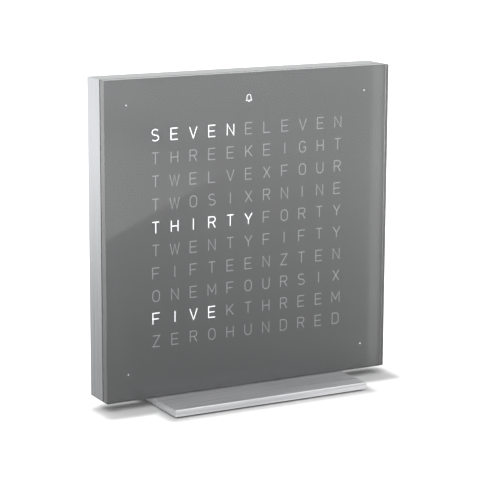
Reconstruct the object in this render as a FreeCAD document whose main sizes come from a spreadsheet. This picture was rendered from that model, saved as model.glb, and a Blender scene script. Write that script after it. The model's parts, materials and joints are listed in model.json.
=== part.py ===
import FreeCAD, Part
import math
import operator
import os
from types import SimpleNamespace

import Sketcher

# A word clock: a thin square case with a clear front cover over a field of letters, on a foot plate.
# The row frame is +X to the right as seen from the front, the front faces -Y, and +Z is up.
# Its origin is on the ground under the middle of the foot.

# Driving sizes, in millimetres, degrees and counts

SIZES = {
    # Letter field, and the borders from it to the case's edges
    "letter_columns": 11,
    "letter_rows": 10,
    "column_pitch": 8.72,
    "row_pitch": 9.69,
    "side_border": 19.54,
    "top_border": 19.05,
    "dot_inset": 10.9,
    # Layers of the front
    "cover_thickness": 4.0,
    "mask_thickness": 0.15,
    "tape_thickness": 0.35,
    "diffuser_thickness": 0.5,
    # Housing
    "rim_width": 8.0,
    "wall_thickness": 4.0,
    "ledge_width": 1.2,
    "window_radius": 3.0,
    "cavity_radius": 3.5,
    "edge_break": 0.3,
    "seat_gap": 0.3,
    "pad_length": 7.0,
    # Light grid
    "rib_thickness": 0.8,
    "well_inset": 1.03,
    "dot_well_width": 2.4,
    "dot_pocket_width": 3.0,
    "dot_pocket_depth": 1.4,
    "bell_well_width": 4.4,
    "grid_skin": 0.55,
    "grid_wall": 0.8,
    "coring_width": 8.4,
    "coring_start": 8.0,
    "coring_end": 48.0,
    "coring_skin": 1.0,
    # Circuit board and its LEDs
    "board_thickness": 1.6,
    "led_width": 3.5,
    "led_height": 2.8,
    "led_thickness": 1.0,
    "small_led_width": 2.0,
    "small_led_height": 1.25,
    "small_led_thickness": 0.8,
    # Coin cell, the tallest thing behind the board
    "cell_across": 38.0,
    "cell_drop": 8.0,
    "cell_diameter": 20.0,
    "cell_thickness": 3.2,
    "cell_headroom": 0.1,
    "holder_base": 0.4,
    "holder_wall": 1.3,
    "holder_drop": 0.2,
    "cell_gap": 0.2,
    "clip_thickness": 0.2,
    "clip_width": 6.0,
    # Chips, each row of whose leads is one strip
    "lead_thickness": 0.2,
    "lead_reach": 0.9,
    "processor_width": 10.0,
    "processor_height": 1.4,
    "processor_lead_row": 8.4,
    "driver_count": 4,
    "driver_spacing": 24.0,
    "driver_rise": 24.0,
    "driver_length": 8.2,
    "driver_width": 5.3,
    "driver_height": 1.7,
    "driver_lead_row": 7.6,
    "clock_chip_across": 18.0,
    "clock_chip_length": 5.0,
    "clock_chip_width": 4.0,
    "clock_chip_height": 1.5,
    "clock_chip_lead_row": 4.2,
    "regulator_across": 16.0,
    "regulator_rise": 15.0,
    "regulator_length": 6.5,
    "regulator_width": 3.5,
    "regulator_height": 1.6,
    "regulator_lead_row": 5.3,
    # Crystal, capacitor, resistors and light sensor
    "crystal_drop": 8.0,
    "crystal_diameter": 2.0,
    "crystal_length": 6.0,
    "capacitor_across": 16.0,
    "capacitor_length": 7.3,
    "capacitor_width": 4.3,
    "capacitor_height": 2.8,
    "resistor_columns": 6,
    "resistor_rows": 2,
    "resistor_column_pitch": 16.0,
    "resistor_row_pitch": 4.0,
    "resistor_rise": 36.0,
    "resistor_length": 2.0,
    "resistor_width": 1.25,
    "resistor_height": 0.5,
    "sensor_rise": 50.0,
    "sensor_width": 2.0,
    "sensor_height": 0.7,
    "window_flange_diameter": 4.8,
    "window_flange_thickness": 0.6,
    "window_stem_diameter": 3.0,
    # Buzzer and its sound slots
    "buzzer_diameter": 12.0,
    "buzzer_height": 3.2,
    "buzzer_mouth_diameter": 2.0,
    "buzzer_mouth_depth": 1.0,
    "sound_slot_width": 1.0,
    "sound_slot_length": 7.0,
    "sound_slot_pitch": 2.2,
    "sound_slots": 4,
    # Ground spring
    "spring_rise": 14.0,
    "spring_width": 3.0,
    "spring_thickness": 0.3,
    "spring_foot": 3.5,
    "spring_bend": 0.6,
    "spring_touch": 1.4,
    "spring_contact": 0.4,
    "spring_height": 3.0,
    # Power socket, which a plug 5.5 mm across with a 2.1 mm bore goes into
    "socket_width": 8.6,
    "socket_bore_diameter": 5.7,
    "socket_bore_depth": 9.5,
    "socket_floor": 2.0,
    "nose_diameter": 8.0,
    "nose_gap": 0.15,
    "pin_diameter": 2.0,
    "pin_root_diameter": 2.6,
    "pin_setback": 1.0,
    "pin_gap": 0.02,
    "slot_width": 2.0,
    "slot_depth": 8.0,
    "slot_radius": 3.25,
    "leaf_thickness": 0.3,
    "leaf_gap": 0.1,
    "terminal_length": 4.2,
    "terminal_width": 1.2,
    "terminal_thickness": 0.4,
    # Back cover
    "back_thickness": 2.0,
    "back_screw_inset": 17.5,
    # Buttons and their switches
    "button_count": 4,
    "button_spacing": 16.0,
    "button_rise": 30.0,
    "button_diameter": 5.0,
    "button_gap": 0.1,
    "button_proud": 0.8,
    "button_travel": 0.5,
    "button_edge": 0.3,
    "flange_diameter": 6.6,
    "flange_thickness": 0.8,
    "switch_width": 6.0,
    "switch_height": 2.0,
    "plunger_width": 2.4,
    "plunger_sink": 0.45,
    "plunger_gap": 0.1,
    # Foot plate and pad
    "foot_width": 92.0,
    "foot_depth": 58.0,
    "foot_thickness": 3.0,
    "foot_edge": 0.2,
    "foot_pad_thickness": 0.6,
    "foot_pad_inset": 1.5,
    "foot_pad_hole": 7.0,
    # Screws: those that hold the back cover and the foot
    "back_screw_diameter": 2.0,
    "back_screw_head": 3.8,
    "back_screw_length": 6.0,
    "foot_screw_diameter": 3.0,
    "foot_screw_head": 5.6,
    "foot_screw_length": 8.0,
    "foot_screw_reach": 30.0,
    "key_width": 2.0,
    "key_depth": 1.0,
    "thread_gap": 0.05,
    "head_gap": 0.05,
    "pass_gap": 0.15,
    "hole_spare": 0.8,
}


class Measure:
    """A size: its value, and the formula on the sheet's cells that gives it."""

    def __init__(self, value, formula):
        self.value = value
        self.formula = formula

    def joined(self, other, sign, work):
        if not isinstance(other, Measure):
            other = Measure(other, str(other))
        value = work(self.value, other.value)
        return Measure(value, f"({self.formula} {sign} {other.formula})")

    def __add__(self, other):
        return self.joined(other, "+", operator.add)

    def __sub__(self, other):
        return self.joined(other, "-", operator.sub)

    def __mul__(self, other):
        return self.joined(other, "*", operator.mul)

    def __truediv__(self, other):
        return self.joined(other, "/", operator.truediv)

    def __neg__(self):
        return self * -1


document = FreeCAD.newDocument("word_clock")
sheet = document.addObject("Spreadsheet::Sheet", "sizes")
for row, (alias, number) in enumerate(SIZES.items(), 1):
    sheet.set(f"A{row}", alias)
    sheet.set(f"B{row}", str(number))
    sheet.setAlias(f"B{row}", alias)
document.recompute()

S = SimpleNamespace(**{alias: Measure(number, "sizes." + alias) for alias, number in SIZES.items()})
ZERO = Measure(0, "0")
nodes = []

# Sizes across the case

field_width = S.letter_columns * S.column_pitch
field_height = S.letter_rows * S.row_pitch
case_width = field_width + S.side_border * 2
case_height = field_height + S.top_border * 2
window_width = case_width - S.rim_width * 2
window_height = case_height - S.rim_width * 2
cavity_width = case_width - S.wall_thickness * 2
cavity_height = case_height - S.wall_thickness * 2
recess_width = cavity_width + S.ledge_width * 2
recess_height = cavity_height + S.ledge_width * 2
grid_width = window_width - S.seat_gap * 2
grid_height = window_height - S.seat_gap * 2
dot_across = case_width / 2 - S.dot_inset
dot_rise = case_height / 2 - S.dot_inset
lip_across = case_width / 2 - (S.wall_thickness + S.rim_width) / 2
back_screw_rise = case_height / 2 - S.back_screw_inset
socket_pocket = S.socket_width + S.seat_gap * 2
socket_rise = socket_pocket / 2 + S.grid_wall - grid_height / 2
button_level = S.button_rise - case_height / 2

# Levels through the case along Y: the coin cell sets the space behind the board, and the power
# socket's depth sets the depth of the housing's lip

component_space = S.holder_base + S.cell_thickness + S.clip_thickness + S.cell_headroom
socket_depth = S.socket_bore_depth + S.socket_floor
socket_reach = socket_depth - S.back_thickness - component_space - S.board_thickness
grid_depth = socket_reach + S.seat_gap + S.grid_skin
lip_depth = grid_depth + S.diffuser_thickness - S.tape_thickness
housing_depth = lip_depth + S.board_thickness + component_space + S.back_thickness
case_depth = S.cover_thickness + S.mask_thickness + S.tape_thickness + housing_depth
cover_level = S.cover_thickness - case_depth / 2
mask_level = cover_level + S.mask_thickness
housing_level = mask_level + S.tape_thickness
diffuser_level = mask_level + S.diffuser_thickness
board_level = housing_level + lip_depth
parts_level = board_level + S.board_thickness
back_level = parts_level + component_space
rear_level = back_level + S.back_thickness

# Heights above the ground

foot_level = S.foot_pad_thickness
case_level = foot_level + S.foot_thickness
middle = case_level + case_height / 2

# How a piece is turned from its own frame to the row's: face on has its x to the right and its z
# towards the front, from behind has its x to the left and its z towards the rear

UPRIGHT = FreeCAD.Rotation()
FACE_ON = FreeCAD.Rotation(FreeCAD.Vector(1, 0, 0), 90)
FROM_BEHIND = FreeCAD.Rotation(FreeCAD.Vector(0, 1, 1), 180)
AXIS_TO_REAR = FreeCAD.Rotation(FreeCAD.Vector(1, 0, 0), -90)
AXIS_TO_RIGHT = FreeCAD.Rotation(FreeCAD.Vector(0, 1, 0), 90)


# Placing and drawing

def place(feature, rotation, x, y, z):
    """Turn a feature and bind its place in the row frame."""
    feature.Placement = FreeCAD.Placement(FreeCAD.Vector(), rotation)
    for axis, measure in zip("xyz", (x, y, z)):
        feature.setExpression("Placement.Base." + axis, measure.formula)


def add_node(kind, name, rotation, x, y, z):
    """Add a sub-part under its own label."""
    feature = document.addObject(kind, name)
    feature.Label = name
    place(feature, rotation, x, y, z)
    nodes.append(feature)
    return feature


def add_body(name, rotation, x, y, z):
    """Add a sub-part that is built from sketches."""
    return add_node("PartDesign::Body", name, rotation, x, y, z)


def datum(body, role):
    """Return one of a body's own planes or axes."""
    return next(feature for feature in body.Origin.OriginFeatures if feature.Role == role)


def add_sketch(body, name, level=ZERO, plane="XY_Plane"):
    """Add a sketch to one of a body's own planes, at a distance along the plane's normal."""
    sketch = body.newObject("Sketcher::SketchObject", f"{body.Name}_{name}")
    sketch.AttachmentSupport = [(datum(body, plane), "")]
    sketch.MapMode = "FlatFace"
    sketch.setExpression("AttachmentOffset.Base.z", level.formula)
    return sketch


def constrain(sketch, kind, *arguments, measure):
    """Add a dimension to a sketch and bind it to the sheet."""
    number = sketch.addConstraint(Sketcher.Constraint(kind, *arguments, measure.value))
    sketch.setExpression(f"Constraints[{number}]", measure.formula)


def hold_point(sketch, curve, point, x, y):
    """Hold one point of a curve at x, y from the sketch's origin."""
    constrain(sketch, "DistanceX", -1, 1, curve, point, measure=x)
    constrain(sketch, "DistanceY", -1, 1, curve, point, measure=y)


def draw_outline(sketch, points):
    """Draw a closed outline of straight lines through points."""
    corners = [FreeCAD.Vector(x.value, y.value, 0) for x, y in points]
    first = sketch.GeometryCount
    for start, end in zip(corners, corners[1:] + corners[:1]):
        sketch.addGeometry(Part.LineSegment(start, end), False)
    for index, (x, y) in enumerate(points):
        hold_point(sketch, first + index, 1, x, y)
        following = first + (index + 1) % len(points)
        sketch.addConstraint(Sketcher.Constraint("Coincident", first + index, 2, following, 1))


def draw_rectangle(sketch, width, height, x=ZERO, y=ZERO):
    """Draw a rectangle about x, y."""
    left, right = x - width / 2, x + width / 2
    low, high = y - height / 2, y + height / 2
    draw_outline(sketch, [(left, low), (right, low), (right, high), (left, high)])


def draw_rounded(sketch, width, height, radius):
    """Draw a rectangle about the origin with round corners."""
    across, rise = width / 2 - radius, height / 2 - radius
    centres = [(across, rise), (-across, rise), (-across, -rise), (across, -rise)]
    first = sketch.GeometryCount
    arcs = []
    for quarter, (x, y) in enumerate(centres):
        circle = Part.Circle(FreeCAD.Vector(x.value, y.value, 0), FreeCAD.Vector(0, 0, 1), radius.value)
        arc = Part.ArcOfCircle(circle, quarter * math.pi / 2, (quarter + 1) * math.pi / 2)
        arcs.append(arc)
        sketch.addGeometry(arc, False)
    for arc, following in zip(arcs, arcs[1:] + arcs[:1]):
        sketch.addGeometry(Part.LineSegment(arc.EndPoint, following.StartPoint), False)
    for index, (x, y) in enumerate(centres):
        arc, line, following = first + index, first + 4 + index, first + (index + 1) % 4
        hold_point(sketch, arc, 3, x, y)
        sketch.addConstraint(Sketcher.Constraint("Tangent", arc, 2, line, 1))
        sketch.addConstraint(Sketcher.Constraint("Tangent", line, 2, following, 1))
        constrain(sketch, "Radius", arc, measure=radius)


def draw_circle(sketch, diameter, x=ZERO, y=ZERO):
    """Draw a circle about x, y."""
    centre = FreeCAD.Vector(x.value, y.value, 0)
    number = sketch.addGeometry(Part.Circle(centre, FreeCAD.Vector(0, 0, 1), diameter.value / 2), False)
    hold_point(sketch, number, 3, x, y)
    constrain(sketch, "Diameter", number, measure=diameter)


def corners_at(across, rise):
    """Return the four places at plus and minus across and rise."""
    return [(x, y) for x in (-across, across) for y in (-rise, rise)]


# Features

def add_feature(body, kind, sketch):
    """Add a feature that works on a sketch, under the sketch's name."""
    feature = body.newObject("PartDesign::" + kind, f"{sketch.Name}_{kind.lower()}")
    feature.Profile = sketch
    return feature


def pad(body, sketch, length, midplane=False):
    """Raise a sketch along its normal."""
    feature = add_feature(body, "Pad", sketch)
    feature.setExpression("Length", length.formula)
    feature.Midplane = midplane
    return feature


def require_cut(body, feature, before):
    """Stop if a cut took nothing away."""
    document.recompute()
    if body.Shape.Volume >= before:
        raise RuntimeError(f"{feature.Name} cuts nothing")
    return feature


def cut(body, sketch, depth, upwards=False):
    """Cut a sketch into the body: down along its normal, or upwards."""
    document.recompute()
    before = body.Shape.Volume
    feature = add_feature(body, "Pocket", sketch)
    feature.Reversed = upwards
    feature.setExpression("Length", depth.formula)
    return require_cut(body, feature, before)


def drill(body, sketch, diameter, depth=None, upwards=False, sink=None):
    """Drill the sketch's circles: through, or to a depth, with a 90 degree sink if one is given."""
    document.recompute()
    before = body.Shape.Volume
    feature = add_feature(body, "Hole", sketch)
    feature.Reversed = upwards
    feature.ThreadType = "None"
    feature.setExpression("Diameter", diameter.formula)
    if depth:
        feature.DepthType = "Dimension"
        feature.setExpression("Depth", depth.formula)
    else:
        feature.DepthType = "ThroughAll"
    if sink:
        feature.HoleCutType = "Countersink"
        feature.HoleCutCountersinkAngle = 90
        feature.setExpression("HoleCutDiameter", sink.formula)
    return require_cut(body, feature, before)


def turn(body, profile):
    """Turn a half profile of radius and height about the body's own z axis."""
    sketch = add_sketch(body, "profile", plane="XZ_Plane")
    draw_outline(sketch, profile)
    feature = add_feature(body, "Revolution", sketch)
    feature.ReferenceAxis = (sketch, ["V_Axis"])
    feature.Angle = 360
    return feature


def cut_wedge(body, name, x, y, floor, mouth, depth):
    """Cut a well with four flat drafted walls: its floor is at the body's own z of nought."""
    document.recompute()
    before = body.Shape.Volume
    wedge = body.newObject("PartDesign::SubtractiveWedge", f"{body.Name}_{name}")
    wedge.AttachmentSupport = [(datum(body, "XY_Plane"), "")]
    wedge.MapMode = "FlatFace"
    wedge.AttachmentOffset = FreeCAD.Placement(FreeCAD.Vector(), FACE_ON)
    wedge.setExpression("AttachmentOffset.Base.x", x.formula)
    wedge.setExpression("AttachmentOffset.Base.y", y.formula)
    wedge.Ymin = 0
    wedge.setExpression("Ymax", depth.formula)
    for axis, floor_width, mouth_width in zip("XZ", floor, mouth):
        wedge.setExpression(axis + "min", (floor_width / -2).formula)
        wedge.setExpression(axis + "max", (floor_width / 2).formula)
        wedge.setExpression(axis + "2min", (mouth_width / -2).formula)
        wedge.setExpression(axis + "2max", (mouth_width / 2).formula)
    return require_cut(body, wedge, before)


def repeat(body, spans, counts, features=None):
    """Repeat features, or the whole body, over spans along the body's x and y axes."""
    pattern = body.newObject("PartDesign::LinearPattern", f"{body.Name}_pattern")
    if features:
        pattern.Originals = features
    else:
        pattern.TransformMode = "Whole shape"
    pattern.Direction = (datum(body, "X_Axis"), [""])
    pattern.Direction2 = (datum(body, "Y_Axis"), [""])
    for suffix, span, count in zip(("", "2"), spans, counts):
        pattern.setExpression("Length" + suffix, span.formula)
        if isinstance(count, Measure):
            pattern.setExpression("Occurrences" + suffix, count.formula)
        else:
            setattr(pattern, "Occurrences" + suffix, count)
    body.Tip = pattern
    return pattern


def break_rim(body, level, size):
    """Chamfer the edges that lie at one height on the outside of a body."""
    document.recompute()
    base = body.Tip
    shape = base.Shape
    box = shape.BoundBox

    def is_rim(edge):
        return all(
            math.isclose(vertex.Z, level.value, abs_tol=1e-6)
            and (
                math.isclose(abs(vertex.X), box.XMax, abs_tol=1e-6)
                or math.isclose(abs(vertex.Y), box.YMax, abs_tol=1e-6)
            )
            for vertex in edge.Vertexes
        )

    edges = [f"Edge{number}" for number, edge in enumerate(shape.Edges, 1) if is_rim(edge)]
    chamfer = body.newObject("PartDesign::Chamfer", f"{body.Name}_edge_{len(body.Group)}")
    chamfer.Base = (base, edges)
    chamfer.setExpression("Size", size.formula)
    body.Tip = chamfer
    return chamfer


# Front layers

def make_front_cover():
    body = add_body("front_cover", FACE_ON, ZERO, cover_level, middle)
    outline = add_sketch(body, "outline")
    draw_rectangle(outline, case_width, case_height)
    pad(body, outline, S.cover_thickness)
    break_rim(body, S.cover_thickness, S.edge_break)


def make_letter_mask():
    body = add_body("letter_mask", FACE_ON, ZERO, mask_level, middle)
    outline = add_sketch(body, "outline")
    draw_rectangle(outline, case_width, case_height)
    pad(body, outline, S.mask_thickness)


def make_cover_tape():
    body = add_body("cover_tape", FACE_ON, ZERO, housing_level, middle)
    outline = add_sketch(body, "outline")
    draw_rectangle(outline, case_width, case_height)
    draw_rounded(outline, window_width, window_height, S.window_radius)
    pad(body, outline, S.tape_thickness)


def make_diffuser():
    body = add_body("diffuser", FACE_ON, ZERO, diffuser_level, middle)
    outline = add_sketch(body, "outline")
    draw_rounded(outline, grid_width, grid_height, S.window_radius - S.seat_gap)
    pad(body, outline, S.diffuser_thickness)


# The egg-crate light grid: a drafted well for each letter, small wells for the dots and the bell,
# and cored borders

def make_light_grid():
    body = add_body("light_grid", FACE_ON, ZERO, board_level, middle)
    outline = add_sketch(body, "outline")
    draw_rounded(outline, grid_width, grid_height, S.window_radius - S.seat_gap)
    pad(body, outline, grid_depth)

    first_x = (S.column_pitch - field_width) / 2
    first_y = (S.row_pitch - field_height) / 2
    mouth = (S.column_pitch - S.rib_thickness, S.row_pitch - S.rib_thickness)
    floor = tuple(width - S.well_inset * 2 for width in mouth)
    well = cut_wedge(body, "well", first_x, first_y, floor, mouth, grid_depth)
    spans = (field_width - S.column_pitch, field_height - S.row_pitch)
    repeat(body, spans, (S.letter_columns, S.letter_rows), [well])

    small_wells = add_sketch(body, "small_wells", grid_depth)
    draw_rectangle(small_wells, S.bell_well_width, S.bell_well_width, ZERO, dot_rise)
    for x, y in corners_at(dot_across, dot_rise):
        draw_rectangle(small_wells, S.dot_well_width, S.dot_well_width, x, y)
    cut(body, small_wells, grid_depth)
    led_pockets = add_sketch(body, "led_pockets")
    for x, y in corners_at(dot_across, dot_rise):
        draw_rectangle(led_pockets, S.dot_pocket_width, S.dot_pocket_width, x, y)
    cut(body, led_pockets, S.dot_pocket_depth, upwards=True)

    socket_room = add_sketch(body, "socket_room")
    draw_rectangle(socket_room, socket_pocket, socket_pocket, ZERO, socket_rise)
    cut(body, socket_room, grid_depth - S.grid_skin, upwards=True)

    coring = add_sketch(body, "coring")
    coring_length = S.coring_end - S.coring_start
    coring_middle = (S.coring_end + S.coring_start) / 2
    band_across = (field_width + grid_width) / 4
    band_rise = (field_height + grid_height) / 4
    for x, y in corners_at(coring_middle, band_rise):
        draw_rectangle(coring, coring_length, S.coring_width, x, y)
    for x, y in corners_at(band_across, coring_middle - S.coring_start / 2):
        draw_rectangle(coring, S.coring_width, coring_length, x, y)
    cut(body, coring, grid_depth - S.coring_skin, upwards=True)


# Housing: a milled frame with a lip round the window, a cavity and a recess for the back cover

def make_housing():
    body = add_body("housing", FROM_BEHIND, ZERO, housing_level, middle)
    block = add_sketch(body, "block")
    draw_rectangle(block, case_width, case_height)
    pad(body, block, housing_depth)
    window = add_sketch(body, "window", housing_depth)
    draw_rounded(window, window_width, window_height, S.window_radius)
    cut(body, window, housing_depth)
    cavity = add_sketch(body, "cavity", housing_depth)
    draw_rounded(cavity, cavity_width, cavity_height, S.cavity_radius)
    cut(body, cavity, housing_depth - lip_depth)
    recess = add_sketch(body, "recess", housing_depth)
    draw_rounded(recess, recess_width, recess_height, S.cavity_radius + S.ledge_width)
    cut(body, recess, S.back_thickness)

    pads = add_sketch(body, "screw_pads", lip_depth)
    for x, y in corners_at(lip_across, back_screw_rise):
        draw_rectangle(pads, S.rim_width - S.wall_thickness, S.pad_length, x, y)
    pad(body, pads, S.board_thickness + component_space)
    back_holes = add_sketch(body, "back_screw_holes", housing_depth - S.back_thickness)
    for x, y in corners_at(lip_across, back_screw_rise):
        draw_circle(back_holes, S.back_screw_diameter, x, y)
    depth = S.back_screw_length - S.back_thickness + S.hole_spare
    drill(body, back_holes, S.back_screw_diameter + S.thread_gap * 2, depth)
    foot_holes = add_sketch(body, "foot_screw_holes", case_height / 2, plane="XZ_Plane")
    for x in (-S.foot_screw_reach, S.foot_screw_reach):
        draw_circle(foot_holes, S.foot_screw_diameter, x, lip_depth / 2)
    depth = S.foot_screw_length - S.foot_thickness + S.hole_spare
    drill(body, foot_holes, S.foot_screw_diameter + S.thread_gap * 2, depth)
    break_rim(body, housing_depth, S.edge_break)


# Circuit board and what it carries

def make_led_board():
    body = add_body("led_board", FROM_BEHIND, ZERO, board_level, middle)
    outline = add_sketch(body, "outline")
    width, height = cavity_width - S.seat_gap * 2, cavity_height - S.seat_gap * 2
    draw_rounded(outline, width, height, S.cavity_radius - S.seat_gap)
    pad(body, outline, S.board_thickness)
    cutouts = add_sketch(body, "cutouts", S.board_thickness)
    draw_rectangle(cutouts, socket_pocket, socket_pocket, ZERO, socket_rise)
    for x, y in corners_at(lip_across, back_screw_rise):
        notch_width = S.rim_width - S.wall_thickness + S.seat_gap * 2
        draw_rectangle(cutouts, notch_width, S.pad_length + S.seat_gap * 2, x, y)
    cut(body, cutouts, S.board_thickness)


def make_leds():
    letters = add_body("letter_leds", FACE_ON, ZERO, board_level, middle)
    lamp = add_sketch(letters, "lamp")
    first_x = (S.column_pitch - field_width) / 2
    first_y = (S.row_pitch - field_height) / 2
    draw_rectangle(lamp, S.led_width, S.led_height, first_x, first_y)
    pad(letters, lamp, S.led_thickness)
    spans = (field_width - S.column_pitch, field_height - S.row_pitch)
    repeat(letters, spans, (S.letter_columns, S.letter_rows))

    corners = add_body("corner_leds", FACE_ON, ZERO, board_level, middle)
    lamp = add_sketch(corners, "lamp")
    draw_rectangle(lamp, S.small_led_width, S.small_led_height, -dot_across, -dot_rise)
    pad(corners, lamp, S.small_led_thickness)
    repeat(corners, (dot_across * 2, dot_rise * 2), (2, 2))

    alarm = add_body("alarm_led", FACE_ON, ZERO, board_level, middle + dot_rise)
    lamp = add_sketch(alarm, "lamp")
    draw_rectangle(lamp, S.small_led_width, S.small_led_height)
    pad(alarm, lamp, S.small_led_thickness)


def make_chip(name, across, rise, length, width, height, lead_row, both_ways=False):
    """Make a moulded chip whose leads stand out of two sides, or of all four."""
    body = add_body(name, FROM_BEHIND, across, parts_level, middle + rise)
    leads = add_sketch(body, "leads")
    draw_rectangle(leads, lead_row, width + S.lead_reach * 2)
    pad(body, leads, S.lead_thickness)
    if both_ways:
        crossing = add_sketch(body, "cross_leads")
        draw_rectangle(crossing, length + S.lead_reach * 2, lead_row)
        pad(body, crossing, S.lead_thickness)
    case = add_sketch(body, "case")
    draw_rectangle(case, length, width)
    pad(body, case, height)
    return body


def make_chips():
    width = S.processor_width
    make_chip(
        "processor", ZERO, ZERO, width, width, S.processor_height, S.processor_lead_row, both_ways=True,
    )
    make_chip(
        "clock_chip", S.clock_chip_across, ZERO, S.clock_chip_length, S.clock_chip_width,
        S.clock_chip_height, S.clock_chip_lead_row,
    )
    make_chip(
        "voltage_regulator", S.regulator_across, S.regulator_rise - case_height / 2, S.regulator_length,
        S.regulator_width, S.regulator_height, S.regulator_lead_row,
    )
    span = (S.driver_count - 1) * S.driver_spacing
    drivers = make_chip(
        "led_drivers", span / 2, S.driver_rise, S.driver_length, S.driver_width,
        S.driver_height, S.driver_lead_row,
    )
    repeat(drivers, (span, ZERO), (S.driver_count, 1))


def make_small_parts():
    crystal = add_node(
        "Part::Cylinder", "quartz_crystal", AXIS_TO_RIGHT,
        S.clock_chip_across - S.crystal_length / 2,
        parts_level + S.crystal_diameter / 2,
        middle - S.crystal_drop,
    )
    crystal.setExpression("Radius", (S.crystal_diameter / 2).formula)
    crystal.setExpression("Height", S.crystal_length.formula)

    make_block(
        "smoothing_capacitor", -S.capacitor_across, S.regulator_rise - case_height / 2,
        S.capacitor_length, S.capacitor_width, S.capacitor_height,
    )
    make_block("light_sensor", ZERO, S.sensor_rise, S.sensor_width, S.sensor_width, S.sensor_height)

    column_span = S.resistor_columns * S.resistor_column_pitch - S.resistor_column_pitch
    row_span = S.resistor_rows * S.resistor_row_pitch - S.resistor_row_pitch
    low = middle + S.resistor_rise - row_span / 2
    resistors = add_body("chip_resistors", FROM_BEHIND, column_span / 2, parts_level, low)
    block = add_sketch(resistors, "block")
    draw_rectangle(block, S.resistor_length, S.resistor_width)
    pad(resistors, block, S.resistor_height)
    repeat(resistors, (column_span, row_span), (S.resistor_columns, S.resistor_rows))


def make_block(name, across, rise, length, width, height, level=parts_level):
    """Make a plain moulded block, on the back of the board or at another level behind it."""
    block = add_node("Part::Box", name, UPRIGHT, across - length / 2, level, middle + rise - width / 2)
    block.setExpression("Length", length.formula)
    block.setExpression("Width", height.formula)
    block.setExpression("Height", width.formula)
    return block


def make_coin_cell():
    rise = middle - S.cell_drop
    cell_level = parts_level + S.holder_base
    cell = add_node("Part::Cylinder", "coin_cell", AXIS_TO_REAR, S.cell_across, cell_level, rise)
    cell.setExpression("Radius", (S.cell_diameter / 2).formula)
    cell.setExpression("Height", S.cell_thickness.formula)

    holder = add_body("cell_holder", FROM_BEHIND, S.cell_across, parts_level, rise)
    inner = S.cell_diameter + S.cell_gap * 2
    outer = inner + S.holder_wall * 2
    top = S.holder_base + S.cell_thickness - S.holder_drop
    outline = add_sketch(holder, "outline")
    draw_rectangle(outline, outer, outer)
    pad(holder, outline, top)
    well = add_sketch(holder, "well", top)
    draw_circle(well, inner)
    cut(holder, well, top - S.holder_base)

    clip = add_body("cell_clip", FROM_BEHIND, S.cell_across, parts_level, rise)
    strap = add_sketch(clip, "strap", plane="XZ_Plane")
    inside, outside = outer / 2, outer / 2 + S.clip_thickness
    under = S.holder_base + S.cell_thickness
    over = under + S.clip_thickness
    points = [
        (-outside, ZERO),
        (-inside, ZERO),
        (-inside, under),
        (inside, under),
        (inside, ZERO),
        (outside, ZERO),
        (outside, over),
        (-outside, over),
    ]
    draw_outline(strap, points)
    pad(clip, strap, S.clip_width, midplane=True)


def make_buzzer():
    body = add_body("buzzer", FROM_BEHIND, -S.cell_across, parts_level, middle - S.cell_drop)
    radius, mouth = S.buzzer_diameter / 2, S.buzzer_mouth_diameter / 2
    profile = [
        (ZERO, ZERO),
        (radius, ZERO),
        (radius, S.buzzer_height),
        (mouth, S.buzzer_height),
        (mouth, S.buzzer_height - S.buzzer_mouth_depth),
        (ZERO, S.buzzer_height - S.buzzer_mouth_depth),
    ]
    turn(body, profile)


# Ground spring: a bent leaf from the board to the housing's side wall

def make_ground_spring():
    left = cavity_width / -2
    body = add_body("ground_spring", UPRIGHT, left, parts_level, middle + S.spring_rise)
    leaf = add_sketch(body, "leaf")
    thick = S.spring_thickness
    contact_end = S.spring_touch + S.spring_contact
    points = [
        (S.spring_foot, ZERO),
        (S.spring_bend, ZERO),
        (ZERO, S.spring_touch),
        (ZERO, contact_end),
        (S.spring_bend, S.spring_height),
        (S.spring_bend + thick, S.spring_height),
        (thick, contact_end),
        (thick, S.spring_touch),
        (S.spring_bend + thick, thick),
        (S.spring_foot, thick),
    ]
    draw_outline(leaf, points)
    pad(body, leaf, S.spring_width)


# Power socket: a square body with a round nose, its pin, its leaf contact and its terminals

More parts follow.
